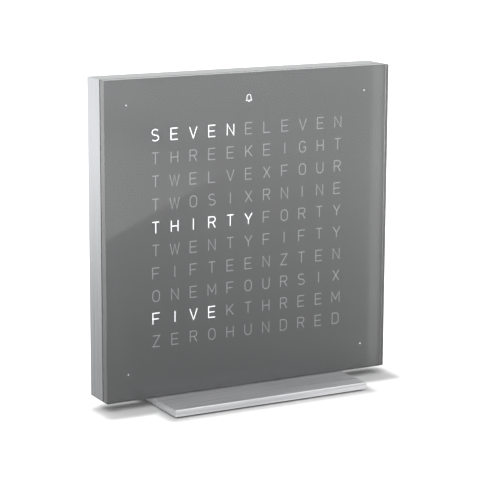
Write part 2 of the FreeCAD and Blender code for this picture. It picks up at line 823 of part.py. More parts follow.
def make_power_socket():
    rise = middle + socket_rise
    front = rear_level - socket_depth
    body = add_body("power_socket", FROM_BEHIND, ZERO, front, rise)
    outline = add_sketch(body, "outline")
    draw_rectangle(outline, S.socket_width, S.socket_width)
    pad(body, outline, socket_depth - S.back_thickness)
    nose = add_sketch(body, "nose")
    draw_circle(nose, S.nose_diameter)
    pad(body, nose, socket_depth)
    bore = add_sketch(body, "bore", socket_depth)
    draw_circle(bore, S.socket_bore_diameter)
    cut(body, bore, S.socket_bore_depth)
    pin_hole = add_sketch(body, "pin_hole", S.socket_floor)
    draw_circle(pin_hole, S.pin_root_diameter + S.pin_gap * 2)
    cut(body, pin_hole, S.socket_floor)
    slot = add_sketch(body, "slot", socket_depth)
    draw_rectangle(slot, S.slot_width, S.slot_radius, ZERO, S.slot_radius / 2)
    cut(body, slot, S.slot_depth)

    pin = add_body("power_pin", FROM_BEHIND, ZERO, front, rise)
    radius, root = S.pin_diameter / 2, S.pin_root_diameter / 2
    length = socket_depth - S.pin_setback
    profile = [
        (ZERO, ZERO),
        (root, ZERO),
        (root, S.socket_floor),
        (radius, S.socket_floor),
        (radius, length - S.edge_break),
        (radius - S.edge_break, length),
        (ZERO, length),
    ]
    turn(pin, profile)

    leaf = add_body("barrel_spring", FROM_BEHIND, ZERO, rear_level - S.slot_depth, rise)
    strip = add_sketch(leaf, "strip")
    leaf_rise = S.slot_radius - S.leaf_thickness / 2
    draw_rectangle(strip, S.slot_width - S.leaf_gap * 2, S.leaf_thickness, ZERO, leaf_rise)
    pad(leaf, strip, S.slot_depth - S.pin_setback)

    terminals = add_body("power_terminals", FROM_BEHIND, ZERO, parts_level, rise)
    tabs = add_sketch(terminals, "tabs")
    tab_across = (S.socket_width + S.terminal_length) / 2
    for x in (-tab_across, tab_across):
        draw_rectangle(tabs, S.terminal_length, S.terminal_width, x)
    pad(terminals, tabs, S.terminal_thickness)


# Back cover and its screws

def make_back_cover():
    body = add_body("back_cover", FROM_BEHIND, ZERO, back_level, middle)
    outline = add_sketch(body, "outline")
    radius = S.cavity_radius + S.ledge_width - S.seat_gap
    draw_rounded(outline, recess_width - S.seat_gap * 2, recess_height - S.seat_gap * 2, radius)
    pad(body, outline, S.back_thickness)
    screws = add_sketch(body, "screw_holes", S.back_thickness)
    for x, y in corners_at(lip_across, back_screw_rise):
        draw_circle(screws, S.back_screw_diameter, x, y)
    sink = S.back_screw_head + S.head_gap * 2
    drill(body, screws, S.back_screw_diameter + S.pass_gap * 2, sink=sink)

    openings = add_sketch(body, "openings", S.back_thickness)
    draw_circle(openings, S.nose_diameter + S.nose_gap * 2, ZERO, socket_rise)
    draw_circle(openings, S.window_stem_diameter + S.button_gap * 2, ZERO, S.sensor_rise)
    cut(body, openings, S.back_thickness)
    button = add_sketch(body, "button_hole", S.back_thickness)
    span = (S.button_count - 1) * S.button_spacing
    draw_circle(button, S.button_diameter + S.button_gap * 2, span / -2, button_level)
    hole = cut(body, button, S.back_thickness)
    repeat(body, (span, ZERO), (S.button_count, 1), [hole])

    slot = add_sketch(body, "sound_slot", S.back_thickness)
    span = (S.sound_slots - 1) * S.sound_slot_pitch
    first_x = S.cell_across - span / 2
    draw_rectangle(slot, S.sound_slot_width, S.sound_slot_length, first_x, -S.cell_drop)
    hole = cut(body, slot, S.back_thickness)
    repeat(body, (span, ZERO), (S.sound_slots, 1), [hole])


def make_back_cover_screws():
    body = add_body(
        "back_cover_screws", FROM_BEHIND, lip_across, rear_level, middle - back_screw_rise,
    )
    radius, head = S.back_screw_diameter / 2, S.back_screw_head / 2
    profile = [
        (ZERO, ZERO),
        (head, ZERO),
        (radius, radius - head),
        (radius, -S.back_screw_length),
        (ZERO, -S.back_screw_length),
    ]
    turn(body, profile)
    repeat(body, (lip_across * 2, back_screw_rise * 2), (2, 2))


def make_sensor_window():
    front = back_level - S.window_flange_thickness
    body = add_body("sensor_window", FROM_BEHIND, ZERO, front, middle + S.sensor_rise)
    flange, stem = S.window_flange_diameter / 2, S.window_stem_diameter / 2
    top = S.window_flange_thickness + S.back_thickness
    profile = [
        (ZERO, ZERO),
        (flange, ZERO),
        (flange, S.window_flange_thickness),
        (stem, S.window_flange_thickness),
        (stem, top),
        (ZERO, top),
    ]
    turn(body, profile)


# Buttons: each cap is guided in the back cover, its flange behind the cover, and its plunger goes
# into the switch

def make_switches():
    span = (S.button_count - 1) * S.button_spacing
    body = add_body("button_switches", FROM_BEHIND, span / 2, parts_level, middle + button_level)
    outline = add_sketch(body, "outline")
    draw_rectangle(outline, S.switch_width, S.switch_width)
    pad(body, outline, S.switch_height)
    well = add_sketch(body, "well", S.switch_height)
    draw_rectangle(well, S.plunger_width + S.plunger_gap * 2, S.plunger_width + S.plunger_gap * 2)
    cut(body, well, S.plunger_sink + S.button_travel + S.plunger_gap)
    repeat(body, (span, ZERO), (S.button_count, 1))


def make_button(name, across):
    """Make one cap and its plunger."""
    rise = middle + button_level
    front = back_level - S.flange_thickness
    cap = add_body(name + "_button", FROM_BEHIND, across, front, rise)
    stem, flange = S.button_diameter / 2, S.flange_diameter / 2
    top = S.flange_thickness + S.back_thickness + S.button_proud
    profile = [
        (ZERO, ZERO),
        (flange, ZERO),
        (flange, S.flange_thickness),
        (stem, S.flange_thickness),
        (stem, top - S.button_edge),
        (stem - S.button_edge, top),
        (ZERO, top),
    ]
    turn(cap, profile)
    level = parts_level + S.switch_height - S.plunger_sink
    length = front - level
    make_block(name + "_plunger", across, button_level, S.plunger_width, S.plunger_width, length, level)


# Foot

def make_foot():
    plate = add_body("foot_plate", UPRIGHT, ZERO, ZERO, foot_level)
    outline = add_sketch(plate, "outline")
    draw_rectangle(outline, S.foot_width, S.foot_depth)
    pad(plate, outline, S.foot_thickness)
    screw_line = housing_level + lip_depth / 2
    holes = add_sketch(plate, "screw_holes")
    for x in (-S.foot_screw_reach, S.foot_screw_reach):
        draw_circle(holes, S.foot_screw_diameter, x, screw_line)
    sink = S.foot_screw_head + S.head_gap * 2
    drill(plate, holes, S.foot_screw_diameter + S.pass_gap * 2, upwards=True, sink=sink)
    break_rim(plate, S.foot_thickness, S.foot_edge)
    break_rim(plate, ZERO, S.foot_edge)

    pad_body = add_body("foot_pad", UPRIGHT, ZERO, ZERO, ZERO)
    outline = add_sketch(pad_body, "outline")
    inset = S.foot_pad_inset * 2
    draw_rectangle(outline, S.foot_width - inset, S.foot_depth - inset)
    for x in (-S.foot_screw_reach, S.foot_screw_reach):
        draw_circle(outline, S.foot_pad_hole, x, screw_line)
    pad(pad_body, outline, S.foot_pad_thickness)

    screws = add_body("foot_screws", UPRIGHT, -S.foot_screw_reach, screw_line, foot_level)
    radius, head = S.foot_screw_diameter / 2, S.foot_screw_head / 2
    profile = [
        (ZERO, ZERO),
        (head, ZERO),
        (radius, head - radius),
        (radius, S.foot_screw_length),
        (ZERO, S.foot_screw_length),
    ]
    turn(screws, profile)
    key = add_sketch(screws, "key")
    reach, half = S.key_width / math.sqrt(3), S.key_width / 2
    draw_outline(key, [
        (reach, ZERO),
        (reach / 2, half),
        (reach / -2, half),
        (-reach, ZERO),
        (reach / -2, -half),
        (reach / 2, -half),
    ])
    cut(screws, key, S.key_depth, upwards=True)
    repeat(screws, (S.foot_screw_reach * 2, ZERO), (2, 1))


def main():
    make_front_cover()
    make_letter_mask()
    make_cover_tape()
    make_diffuser()
    make_light_grid()
    make_housing()
    make_led_board()
    make_leds()
    make_chips()
    make_small_parts()
    make_coin_cell()
    make_buzzer()
    make_ground_spring()
    make_power_socket()
    make_back_cover()
    make_back_cover_screws()
    make_sensor_window()
    make_switches()
    for number, name in enumerate(("hour", "minute", "light", "alarm")):
        first = (S.button_count - 1) * S.button_spacing / -2
        make_button(name, first + S.button_spacing * number)
    make_foot()
    document.recompute()
    save()


# Checks and files

def save():
    """Check every object and write each sub-part's solids under its label."""
    for feature in document.Objects:
        if "Invalid" in feature.State or "Error" in feature.State:
            raise RuntimeError(f"{feature.Name} didn't build: {feature.State}")
    for node in nodes:
        if node.Shape.isNull() or not node.Shape.isValid() or not node.Shape.Solids:
            raise RuntimeError(f"{node.Label} has no valid solid")
    os.makedirs("parts", exist_ok=True)
    for node in nodes:
        node.Shape.exportStep(f"parts/{node.Label}.step")
        print(node.Label, len(node.Shape.Solids), "solid(s)")


main()
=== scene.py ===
"""Looks of a square word clock: clear front over lit words, brushed case, steel foot, moulded back."""

import json
import logging
import math
from abc import ABC, abstractmethod
from dataclasses import dataclass, field
from enum import Enum

import bmesh
import bpy
from mathutils import Matrix, Vector
from mathutils.geometry import delaunay_2d_cdt


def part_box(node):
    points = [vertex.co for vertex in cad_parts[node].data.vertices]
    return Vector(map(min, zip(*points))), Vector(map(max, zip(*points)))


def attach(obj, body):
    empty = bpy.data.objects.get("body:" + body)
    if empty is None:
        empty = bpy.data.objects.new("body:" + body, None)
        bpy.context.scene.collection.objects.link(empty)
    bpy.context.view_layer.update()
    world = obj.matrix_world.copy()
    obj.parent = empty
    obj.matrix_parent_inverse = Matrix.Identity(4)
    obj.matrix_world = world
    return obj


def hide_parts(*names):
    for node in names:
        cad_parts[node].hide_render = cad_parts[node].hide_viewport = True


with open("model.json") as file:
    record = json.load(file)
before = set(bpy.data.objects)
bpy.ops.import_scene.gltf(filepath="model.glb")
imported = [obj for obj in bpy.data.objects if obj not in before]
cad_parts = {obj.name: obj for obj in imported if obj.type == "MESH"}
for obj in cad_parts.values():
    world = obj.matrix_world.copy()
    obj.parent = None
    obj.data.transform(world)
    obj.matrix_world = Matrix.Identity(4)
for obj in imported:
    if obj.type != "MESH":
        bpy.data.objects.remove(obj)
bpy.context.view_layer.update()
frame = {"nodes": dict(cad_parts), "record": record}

LOG = logging.getLogger("word_clock")
BODY = "clock"
MM = 0.001

Point = tuple[float, float]
Spot = tuple[float, float, float]
Outline = list[Point]
Face = list[int]
Tree = bpy.types.NodeTree
Node = bpy.types.Node
Socket = bpy.types.NodeSocket

# A sharp corner of a pen line is cut off where its point would reach further than this allows
SHARPEST_CORNER = 0.45
# Points of a drawing nearer than this share of the pen's width are one point
JOIN_SHARE = 0.002
# Points of a screw head nearer than this, in millimetres, are one point
JOIN_MM = 0.0001


class Lines(Enum):
    """Which way a brushed sheet's fine lines run, as the axes that they stay level along."""

    UP_AND_ALONG = (True, False, True)
    ALONG = (True, False, False)


class Filling(Enum):
    """What a flat drawing is filled with, by the number that the triangulation knows it by."""

    TRIANGLES = 1
    WHOLE_FACES = 3


def linear(colour: str) -> tuple[float, float, float, float]:
    """Turns an sRGB hex colour to linear light.

    Args:
        colour: Six hex digits after a hash sign.

    Returns:
        Red, green, blue and a full alpha.
    """
    levels = [int(colour[at : at + 2], 16) / 255 for at in (1, 3, 5)]
    lights = [level / 12.92 if level <= 0.04045 else ((level + 0.055) / 1.055) ** 2.4 for level in levels]
    return (lights[0], lights[1], lights[2], 1.0)


def add_node(
    tree: Tree,
    kind: str,
    inputs: dict[str | int, object] | None = None,
    **settings: object,
) -> Node:
    """Adds one node and fills its sockets.

    Args:
        tree: The tree that gets the node.
        kind: The node's Blender type.
        inputs: A value or another node's output for each named socket.
        settings: The node's own options.

    Returns:
        The new node.
    """
    node = tree.nodes.new(kind)
    for name, value in settings.items():
        setattr(node, name, value)
    for socket, value in (inputs or {}).items():
        if isinstance(value, Socket):
            tree.links.new(value, node.inputs[socket])
        else:
            node.inputs[socket].default_value = value
    return node


def scaled(tree: Tree, sizes: Spot) -> Socket:
    """Makes coordinates in which a pattern's cell has a real size.

    Args:
        tree: The tree that gets the nodes.
        sizes: The cell's size along x, y and z, in millimetres.

    Returns:
        The coordinates' socket.
    """
    place = add_node(tree, "ShaderNodeTexCoord").outputs["Object"]
    counts = tuple(1 / (size * MM) for size in sizes)
    return add_node(tree, "ShaderNodeMapping", {"Vector": place, "Scale": counts}).outputs["Vector"]


@dataclass(frozen=True)
class Fade:
    """A strength that changes from one value to another.

    Attributes:
        start: Where it starts to change.
        end: Where it has changed.
        low: The strength up to the start.
        high: The strength from the end on.
        smooth: Whether it changes slowly near both ends.
    """

    start: float
    end: float
    low: float = 0.0
    high: float = 1.0
    smooth: bool = True

    def along(self, tree: Tree, amount: Socket) -> Socket:
        """Works out the strength.

        Args:
            tree: The tree that gets the node.
            amount: What the strength changes with.

        Returns:
            The strength's socket.
        """
        graded = add_node(
            tree,
            "ShaderNodeMapRange",
            {
                "Value": amount,
                "From Min": self.start,
                "From Max": self.end,
                "To Min": self.low,
                "To Max": self.high,
            },
            interpolation_type="SMOOTHSTEP" if self.smooth else "LINEAR",
        )
        return graded.outputs["Result"]


@dataclass(frozen=True)
class Pattern:
    """How a surface's pattern shows.

    Attributes:
        dark: The hex colour where the pattern is low.
        light: The hex colour where it is high.
        low: The pattern's value that gives the dark shade.
        high: The pattern's value that gives the light shade.
        strength: How far its relief tilts the light.
        depth_mm: How deep its relief is.
    """

    dark: str
    light: str
    low: float
    high: float
    strength: float = 0.0
    depth_mm: float = 0.0

    def shades(self, tree: Tree, amount: Socket) -> Socket:
        """Colours the pattern between its two shades.

        Args:
            tree: The tree that gets the node.
            amount: The pattern.

        Returns:
            The colour's socket.
        """
        ramp = add_node(tree, "ShaderNodeValToRGB", {"Fac": amount})
        dark, light = ramp.color_ramp.elements
        dark.position = self.low
        dark.color = linear(self.dark)
        light.position = self.high
        light.color = linear(self.light)
        return ramp.outputs["Color"]

    def lay(self, tree: Tree, surface: Node, amount: Socket) -> None:
        """Lays the pattern on a surface as shade and relief.

        Args:
            tree: The tree that gets the nodes.
            surface: The surface's shader.
            amount: The pattern.
        """
        tree.links.new(self.shades(tree, amount), surface.inputs["Base Color"])
        relief = add_node(
            tree,
            "ShaderNodeBump",
            {"Height": amount, "Strength": self.strength, "Distance": self.depth_mm * MM},
        )
        tree.links.new(relief.outputs["Normal"], surface.inputs["Normal"])


@dataclass(frozen=True)
class Finish(ABC):
    """A real material with a made surface.

    Attributes:
        name: Its common name and how it was made.
        colour: Its sRGB colour as hex.
        roughness: How dull its surface is, 0 to 1.
    """

    name: str
    colour: str
    roughness: float

    @abstractmethod
    def lay(self, tree: Tree, surface: Node) -> None:
        """Sets the surface's own numbers and adds its pattern.

        Args:
            tree: The material's node tree.
            surface: The surface's shader.
        """

    def material(self) -> bpy.types.Material:
        """Makes the material once, and then shares it.

        Returns:
            The material.
        """
        known = bpy.data.materials.get(self.name)
        if known:
            return known
        made = bpy.data.materials.new(self.name)
        made.use_nodes = True
        tree = made.node_tree
        surface = tree.nodes["Principled BSDF"]
        surface.inputs["Base Color"].default_value = linear(self.colour)
        surface.inputs["Roughness"].default_value = self.roughness
        self.lay(tree, surface)
        return made


@dataclass(frozen=True)
class BrushedMetal(Finish):
    """Sheet metal drawn under an abrasive belt: long fine lines that catch the light in streaks.

    Attributes:
        streak: The shade of the brightest streaks.
        lines: The axes that the lines stay level along.
        line_mm: How far apart the lines are.
        run_mm: How long a line runs before it fades.
        depth_mm: How deep the lines are.
        spread: How far the dullness varies from line to line, either way.
    """

    streak: str = "#ffffff"
    lines: Lines = Lines.UP_AND_ALONG
    line_mm: float = 0.9
    run_mm: float = 60.0
    depth_mm: float = 0.004
    spread: float = 0.05

    def lay(self, tree: Tree, surface: Node) -> None:
        """Adds the drawn lines as shade, dullness and relief.

        Args:
            tree: The material's node tree.
            surface: The surface's shader.
        """
        surface.inputs["Metallic"].default_value = 1.0
        sizes = tuple(self.run_mm if level else self.line_mm for level in self.lines.value)
        lines = add_node(
            tree,
            "ShaderNodeTexNoise",
            {"Vector": scaled(tree, sizes), "Scale": 1.0, "Detail": 4.0, "Roughness": 0.62},
        )
        amount = lines.outputs["Fac"]
        low, high = (0.3, 0.7)
        pattern = Pattern(self.colour, self.streak, low, high, strength=0.5, depth_mm=self.depth_mm)
        pattern.lay(tree, surface, amount)
        dullness = Fade(low, high, self.roughness - self.spread, self.roughness + self.spread, smooth=False)
        tree.links.new(dullness.along(tree, amount), surface.inputs["Roughness"])


@dataclass(frozen=True)
class Grained(Finish):
    """A moulded, coated or cast surface with a fine even grain.

    Attributes:
        fleck: The shade of its lightest grains.
        grain_mm: How wide a grain is.
        depth_mm: How far the grain stands up.
        ior: The refractive index, of plastics and lacquers.
        metallic: One for bare metal, nought for the rest.
    """

    fleck: str = "#ffffff"
    grain_mm: float = 0.6
    depth_mm: float = 0.01
    ior: float = 1.5
    metallic: float = 0.0

    def lay(self, tree: Tree, surface: Node) -> None:
        """Adds the grain as shade and relief.

        Args:
            tree: The material's node tree.
            surface: The surface's shader.
        """
        surface.inputs["Metallic"].default_value = self.metallic
        if not self.metallic:
            surface.inputs["IOR"].default_value = self.ior
        sizes = (self.grain_mm, self.grain_mm, self.grain_mm)
        grain = add_node(
            tree,
            "ShaderNodeTexNoise",
            {"Vector": scaled(tree, sizes), "Scale": 1.0, "Detail": 2.0, "Roughness": 0.5},
        )
        pattern = Pattern(self.colour, self.fleck, 0.35, 0.65, strength=0.6, depth_mm=self.depth_mm)
        pattern.lay(tree, surface, grain.outputs["Fac"])


@dataclass(frozen=True)
class ClearSheet(Finish):
    """Cast acrylic that light passes through: its faces are glossy and its cut edges glow a little.

    Attributes:
        ior: The refractive index of acrylic.
        wave_mm: How wide the polisher's faint waves are.
        depth_mm: How deep those waves are.
    """

    ior: float = 1.49
    wave_mm: float = 12.0
    depth_mm: float = 0.0001

    def lay(self, tree: Tree, surface: Node) -> None:
        """Lets light through and adds the polished face's faint waves.

        Args:
            tree: The material's node tree.
            surface: The surface's shader.
        """
        surface.inputs["Transmission Weight"].default_value = 1.0
        surface.inputs["IOR"].default_value = self.ior
        sizes = (self.wave_mm, self.wave_mm, self.wave_mm)
        waves = add_node(
            tree,
            "ShaderNodeTexNoise",
            {"Vector": scaled(tree, sizes), "Scale": 1.0, "Detail": 1.0},
        )
        relief = add_node(
            tree,
            "ShaderNodeBump",
            {"Height": waves.outputs["Fac"], "Strength": 0.3, "Distance": self.depth_mm * MM},
        )
        tree.links.new(relief.outputs["Normal"], surface.inputs["Normal"])


@dataclass(frozen=True)
class LitFilm(Finish):
    """White film with a lamp behind it: an even glow, a touch cooler where the film is thin.

    Attributes:
        glow: The light's colour through thin film, as hex.
        thick: The light's colour through thick film, as hex.
        strength: How bright it is, where one is white.
        cloud_mm: How wide the film's faint clouds are.
        ior: The refractive index of the film.
    """

    glow: str = "#ffffff"
    thick: str = "#ffffff"
    strength: float = 1.0
    cloud_mm: float = 3.0
    ior: float = 1.5

    def lay(self, tree: Tree, surface: Node) -> None:
        """Adds the glow and the film's faint clouds.

        Args:
            tree: The material's node tree.
            surface: The surface's shader.
        """
        surface.inputs["IOR"].default_value = self.ior
        surface.inputs["Emission Strength"].default_value = self.strength
        sizes = (self.cloud_mm, self.cloud_mm, self.cloud_mm)
        clouds = add_node(
            tree,
            "ShaderNodeTexNoise",
            {"Vector": scaled(tree, sizes), "Scale": 1.0, "Detail": 1.0},
        )
        pattern = Pattern(self.glow, self.thick, low=0.3, high=0.6)
        colour = pattern.shades(tree, clouds.outputs["Fac"])
        tree.links.new(colour, surface.inputs["Emission Color"])


@dataclass(frozen=True)
class TrackedBoard(Finish):
    """Glass-fibre board under green solder mask: copper tracks show through as paler lines.

    Attributes:
        track: The shade of the mask over copper.
        track_mm: How wide the blocks of tracks are.
        blocks: How many times longer than wide they are.
        depth_mm: How far the tracks stand up.
        ior: The refractive index of the solder mask.
    """

    track: str = "#2f8a55"
    track_mm: float = 2.0
    blocks: int = 3
    depth_mm: float = 0.03
    ior: float = 1.5

    def lay(self, tree: Tree, surface: Node) -> None:
        """Adds the tracks as square-cornered cells of copper and bare board.

        Args:
            tree: The material's node tree.
            surface: The surface's shader.
        """
        surface.inputs["IOR"].default_value = self.ior
        sizes = (self.track_mm * self.blocks, self.track_mm, self.track_mm)
        tracks = add_node(
            tree,
            "ShaderNodeTexVoronoi",
            {"Vector": scaled(tree, sizes), "Scale": 1.0, "Randomness": 0.6},
            distance="CHEBYCHEV",
        )
        pattern = Pattern(self.track, self.colour, 0.25, 0.3, strength=0.4, depth_mm=self.depth_mm)
        pattern.lay(tree, surface, tracks.outputs["Distance"])


# Clear acrylic has no colour of its own: the grey behind it and its bright edges show
CLEAR_ACRYLIC = ClearSheet("cast_acrylic_polished", "#ffffff", 0.0)
# Screen-printed lacquer is an even matt grey, with only the print's faint grain
GREY_LACQUER = Grained(
    "grey_lacquer_screen_printed", "#747576", 0.6, fleck="#777879", grain_mm=0.4, depth_mm=0.001
)
# Unlit letters show the white film through a thin veil of ink, as pale grey lines
PALE_FILM = Grained("white_film_unlit", "#c4c6c8", 0.6, fleck="#ccced0", grain_mm=0.5, depth_mm=0.001)
# Lit letters are the same film with its lamp on
LIT_FILM = LitFilm("white_film_lit", "#f4f4f4", 0.6, glow="#f6f8ff", strength=1.2)
# Screws are zinc-plated steel: bright, a little bluish
SCREW_STEEL = Grained(
    "steel_zinc_plated", "#b9bdc2", 0.3, fleck="#c9cdd1", grain_mm=0.4, depth_mm=0.004, metallic=1.0
)

FINISHES: dict[str, Finish] = {
    "clear_acrylic": CLEAR_ACRYLIC,
    "mask_lacquer": GREY_LACQUER,
    # Foam tape is matt black
    "black_tape": Grained(
        "acrylic_foam_tape", "#1c1d1f", 0.8, fleck="#242527", grain_mm=0.5, depth_mm=0.01
    ),
    # Diffuser film is milky polycarbonate with a satin face
    "white_film": Grained(
        "polycarbonate_diffuser_film", "#e6e7e6", 0.5, fleck="#eeefee", grain_mm=0.4, depth_mm=0.002
    ),
    # The light grid is moulded in opaque white ABS
    "white_abs": Grained(
        "abs_moulded_white", "#dcdcd8", 0.45, fleck="#e6e6e3", grain_mm=0.5, depth_mm=0.01
    ),
    # Brushed and clear-anodised aluminium is a soft grey with fine upright streaks
    "brushed_aluminium": BrushedMetal("aluminium_brushed_anodised", "#969899", 0.27, streak="#a8aaad"),
    # Brushed stainless steel is harder and brighter, with streaks along the plate
    "brushed_steel_plate": BrushedMetal(
        "stainless_steel_brushed", "#c4c5c7", 0.54, streak="#ececee", lines=Lines.ALONG
    ),
    # The board is green solder mask over copper tracks
    "board_green": TrackedBoard("circuit_board_solder_masked", "#14532f", 0.35),
    # LED packages are moulded white plastic
    "led_plastic": Grained(
        "led_package_moulded", "#e9e7dc", 0.4, fleck="#f1efe6", grain_mm=0.3, depth_mm=0.004
    ),
    "screw_steel": SCREW_STEEL,
    # Chips are moulded epoxy, matt black with a fine sand-like grain
    "chip_black": Grained(
        "epoxy_chip_moulded", "#1d1e20", 0.6, fleck="#28292b", grain_mm=0.2, depth_mm=0.006
    ),
    # Crystal and cell cans are drawn steel, smooth and bright
    "can_steel": Grained(
        "steel_can_drawn", "#c6c8ca", 0.25, fleck="#d2d4d6", grain_mm=0.6, depth_mm=0.003, metallic=1.0
    ),
    # The cell's holder is glass-filled nylon, dark and a little glossy
    "holder_black": Grained(
        "nylon_glass_filled", "#232427", 0.5, fleck="#2e2f33", grain_mm=0.3, depth_mm=0.01
    ),
    # Springs are pressed brass, warm and bright
    "spring_brass": Grained(
        "brass_pressed", "#c9a45c", 0.3, fleck="#d6b473", grain_mm=0.5, depth_mm=0.004, metallic=1.0
    ),
    # Contacts are nickel plate over brass, bright with a warm tinge
    "contact_plate": Grained(
        "nickel_plated_brass", "#c3bfb6", 0.25, fleck="#cfccc4", grain_mm=0.5, depth_mm=0.003, metallic=1.0
    ),
    # Tantalum capacitors are moulded in ochre epoxy
    "capacitor_ochre": Grained(
        "epoxy_capacitor_moulded", "#b98a2e", 0.45, fleck="#c69a42", grain_mm=0.3, depth_mm=0.004
    ),
    # Moulded ABS with a spark-eroded texture is dull and nearly black
    "back_abs": Grained(
        "abs_moulded_spark_textured", "#26272a", 0.55, fleck="#303236", grain_mm=0.5, depth_mm=0.02
    ),
    # The buttons' ABS comes from a smoother mould, so they shine a little more, and is dyed dark grey
    "button_abs": Grained(
        "abs_moulded_satin", "#4b4d51", 0.38, fleck="#505256", grain_mm=0.3, depth_mm=0.004
    ),
    # The foot's pad is dull black rubber sheet
    "pad_rubber": Grained(
        "rubber_sheet_moulded", "#17181a", 0.85, fleck="#212225", grain_mm=0.8, depth_mm=0.03
    ),
}


def dress(node: str, finish: Finish) -> None:
    """Gives a CAD node a finish.

    Args:
        node: The node's name.
        finish: What it is made of.
    """
    mesh = frame["nodes"][node].data
    mesh.materials.clear()
    mesh.materials.append(finish.material())
    LOG.info("%s is dressed in %s", node, finish.name)


def make_piece(name: str, mesh: bpy.types.Mesh, finish: Finish) -> bpy.types.Object:
    """Makes a piece of the clock from its mesh.

    Args:
        name: The piece's name.
        mesh: Its mesh, in place.
        finish: What it is made of.

    Returns:
        The piece, riding on the clock's body.
    """
    piece = bpy.data.objects.new(name, mesh)
    bpy.context.scene.collection.objects.link(piece)
    mesh.materials.append(finish.material())
    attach(piece, BODY)
    LOG.info("%s is made of %s, %d faces", name, finish.name, len(mesh.polygons))
    return piece


def raw_mesh(name: str, corners: list[Spot], faces: list[Face]) -> bpy.types.Mesh:
    """Makes a mesh from its corners and faces.

    Args:
        name: The mesh's name.
        corners: Its corners, in metres.
        faces: Its faces as lists of corners.

    Returns:
        The mesh.
    """
    made = bpy.data.meshes.new(name)
    made.from_pydata(corners, [], faces)
    made.validate()
    return made


def bevelled_block(name: str, low: Vector, high: Vector, bevel: float) -> bpy.types.Mesh:
    """Makes a block with fine bevels along all its edges.

    Args:
        name: The mesh's name.
        low: Its lowest corner, in metres.
        high: Its highest corner, in metres.
        bevel: The bevels' width, in metres.

    Returns:
        The mesh.
    """
    form = bmesh.new()
    bmesh.ops.create_cube(form, size=1.0, matrix=Matrix.LocRotScale((low + high) / 2, None, high - low))
    bmesh.ops.bevel(form, geom=form.edges[:], offset=bevel, segments=1, affect="EDGES", clamp_overlap=True)
    mesh = bpy.data.meshes.new(name)
    form.to_mesh(mesh)
    form.free()
    return mesh


def arc(centre: Point, radii: Point, start: float, end: float, steps: int = 10) -> Outline:
    """Lists the points of an arc.

    Args:
        centre: The arc's centre.
        radii: Its half width and half height.
        start: The angle it starts at, in degrees.
        end: The angle it ends at, in degrees.
        steps: How many chords it has.

    Returns:
        The points from start to end.
    """
    turns = [math.radians(start + (end - start) * step / steps) for step in range(steps + 1)]
    return [(centre[0] + radii[0] * math.cos(turn), centre[1] + radii[1] * math.sin(turn)) for turn in turns]


@dataclass(frozen=True)
class Stroke:
    """One run of a pen.

    Attributes:
        points: The pen's path, in units of the drawing.
        closed: Whether the path returns to its start.
    """

    points: Outline
    closed: bool = False

    def side_step(self, at: int, reach: float, path: Outline) -> Point:
        """Works out how far the line's edge stands from a point of the path.

        Args:
            at: Which point.
            reach: Half the line's width.
            path: The path at its real size.

        Returns:
            The step from the path to the line's left edge.
        """
        last = len(path) - 1
        before = path[at - 1] if at > 0 or self.closed else path[at]
        after = path[at + 1] if at < last else path[0] if self.closed else path[at]
        here = Vector(path[at])
        ways = [Vector(there).normalized() for there in (here - Vector(before), Vector(after) - here)]
        ways = [way for way in ways if way.length > 0]
        normals = [Vector((-way.y, way.x)) for way in ways]
        middle = sum(normals, Vector((0, 0))).normalized()
        stretch = max(middle.dot(normals[0]), SHARPEST_CORNER)
        step = middle * reach / stretch
        return (step.x, step.y)

    def quads(self, scale: float, width: float) -> tuple[Outline, list[Face]]:
        """Turns the run to a ribbon.

        Args:
            scale: The real size of one unit.
            width: The line's real width.

        Returns:
            The ribbon's points and its four-cornered faces.
        """
        path = [(across * scale, up * scale) for across, up in self.points]
        steps = [self.side_step(at, width / 2, path) for at in range(len(path))]
        left = [(spot[0] + step[0], spot[1] + step[1]) for spot, step in zip(path, steps)]
        right = [(spot[0] - step[0], spot[1] - step[1]) for spot, step in zip(path, steps)]
        count = len(path)
        runs = range(count if self.closed else count - 1)
        faces = [[at + count, (at + 1) % count + count, (at + 1) % count, at] for at in runs]
        return left + right, faces


@dataclass(frozen=True)
class Sheet:
    """Flat faces that cover a shape once.

    Attributes:
        points: The shape's points.
        faces: The faces as lists of points.
    """

    points: Outline
    faces: list[Face]


def draw(strokes: list[Stroke], scale: float, width: float, shift: Point) -> Sheet:
    """Draws strokes as one sheet, joined where they cross.

    Args:
        strokes: The strokes, in units of the scale.
        scale: The real size of one unit.
        width: The pen's width.
        shift: How far the drawing is moved.

    Returns:
        The sheet.
    """
    points: Outline = []
    faces: list[Face] = []
    for stroke in strokes:
        more, quads = stroke.quads(scale, width)
        faces += [[corner + len(points) for corner in quad] for quad in quads]
        points += [(point[0] + shift[0], point[1] + shift[1]) for point in more]
    spots = [Vector(point) for point in points]
    joined = delaunay_2d_cdt(spots, [], faces, Filling.WHOLE_FACES.value, width * JOIN_SHARE)
    kept = [list(face) for face, owners in zip(joined[2], joined[5]) if owners]
    return Sheet([(spot.x, spot.y) for spot in joined[0]], kept)


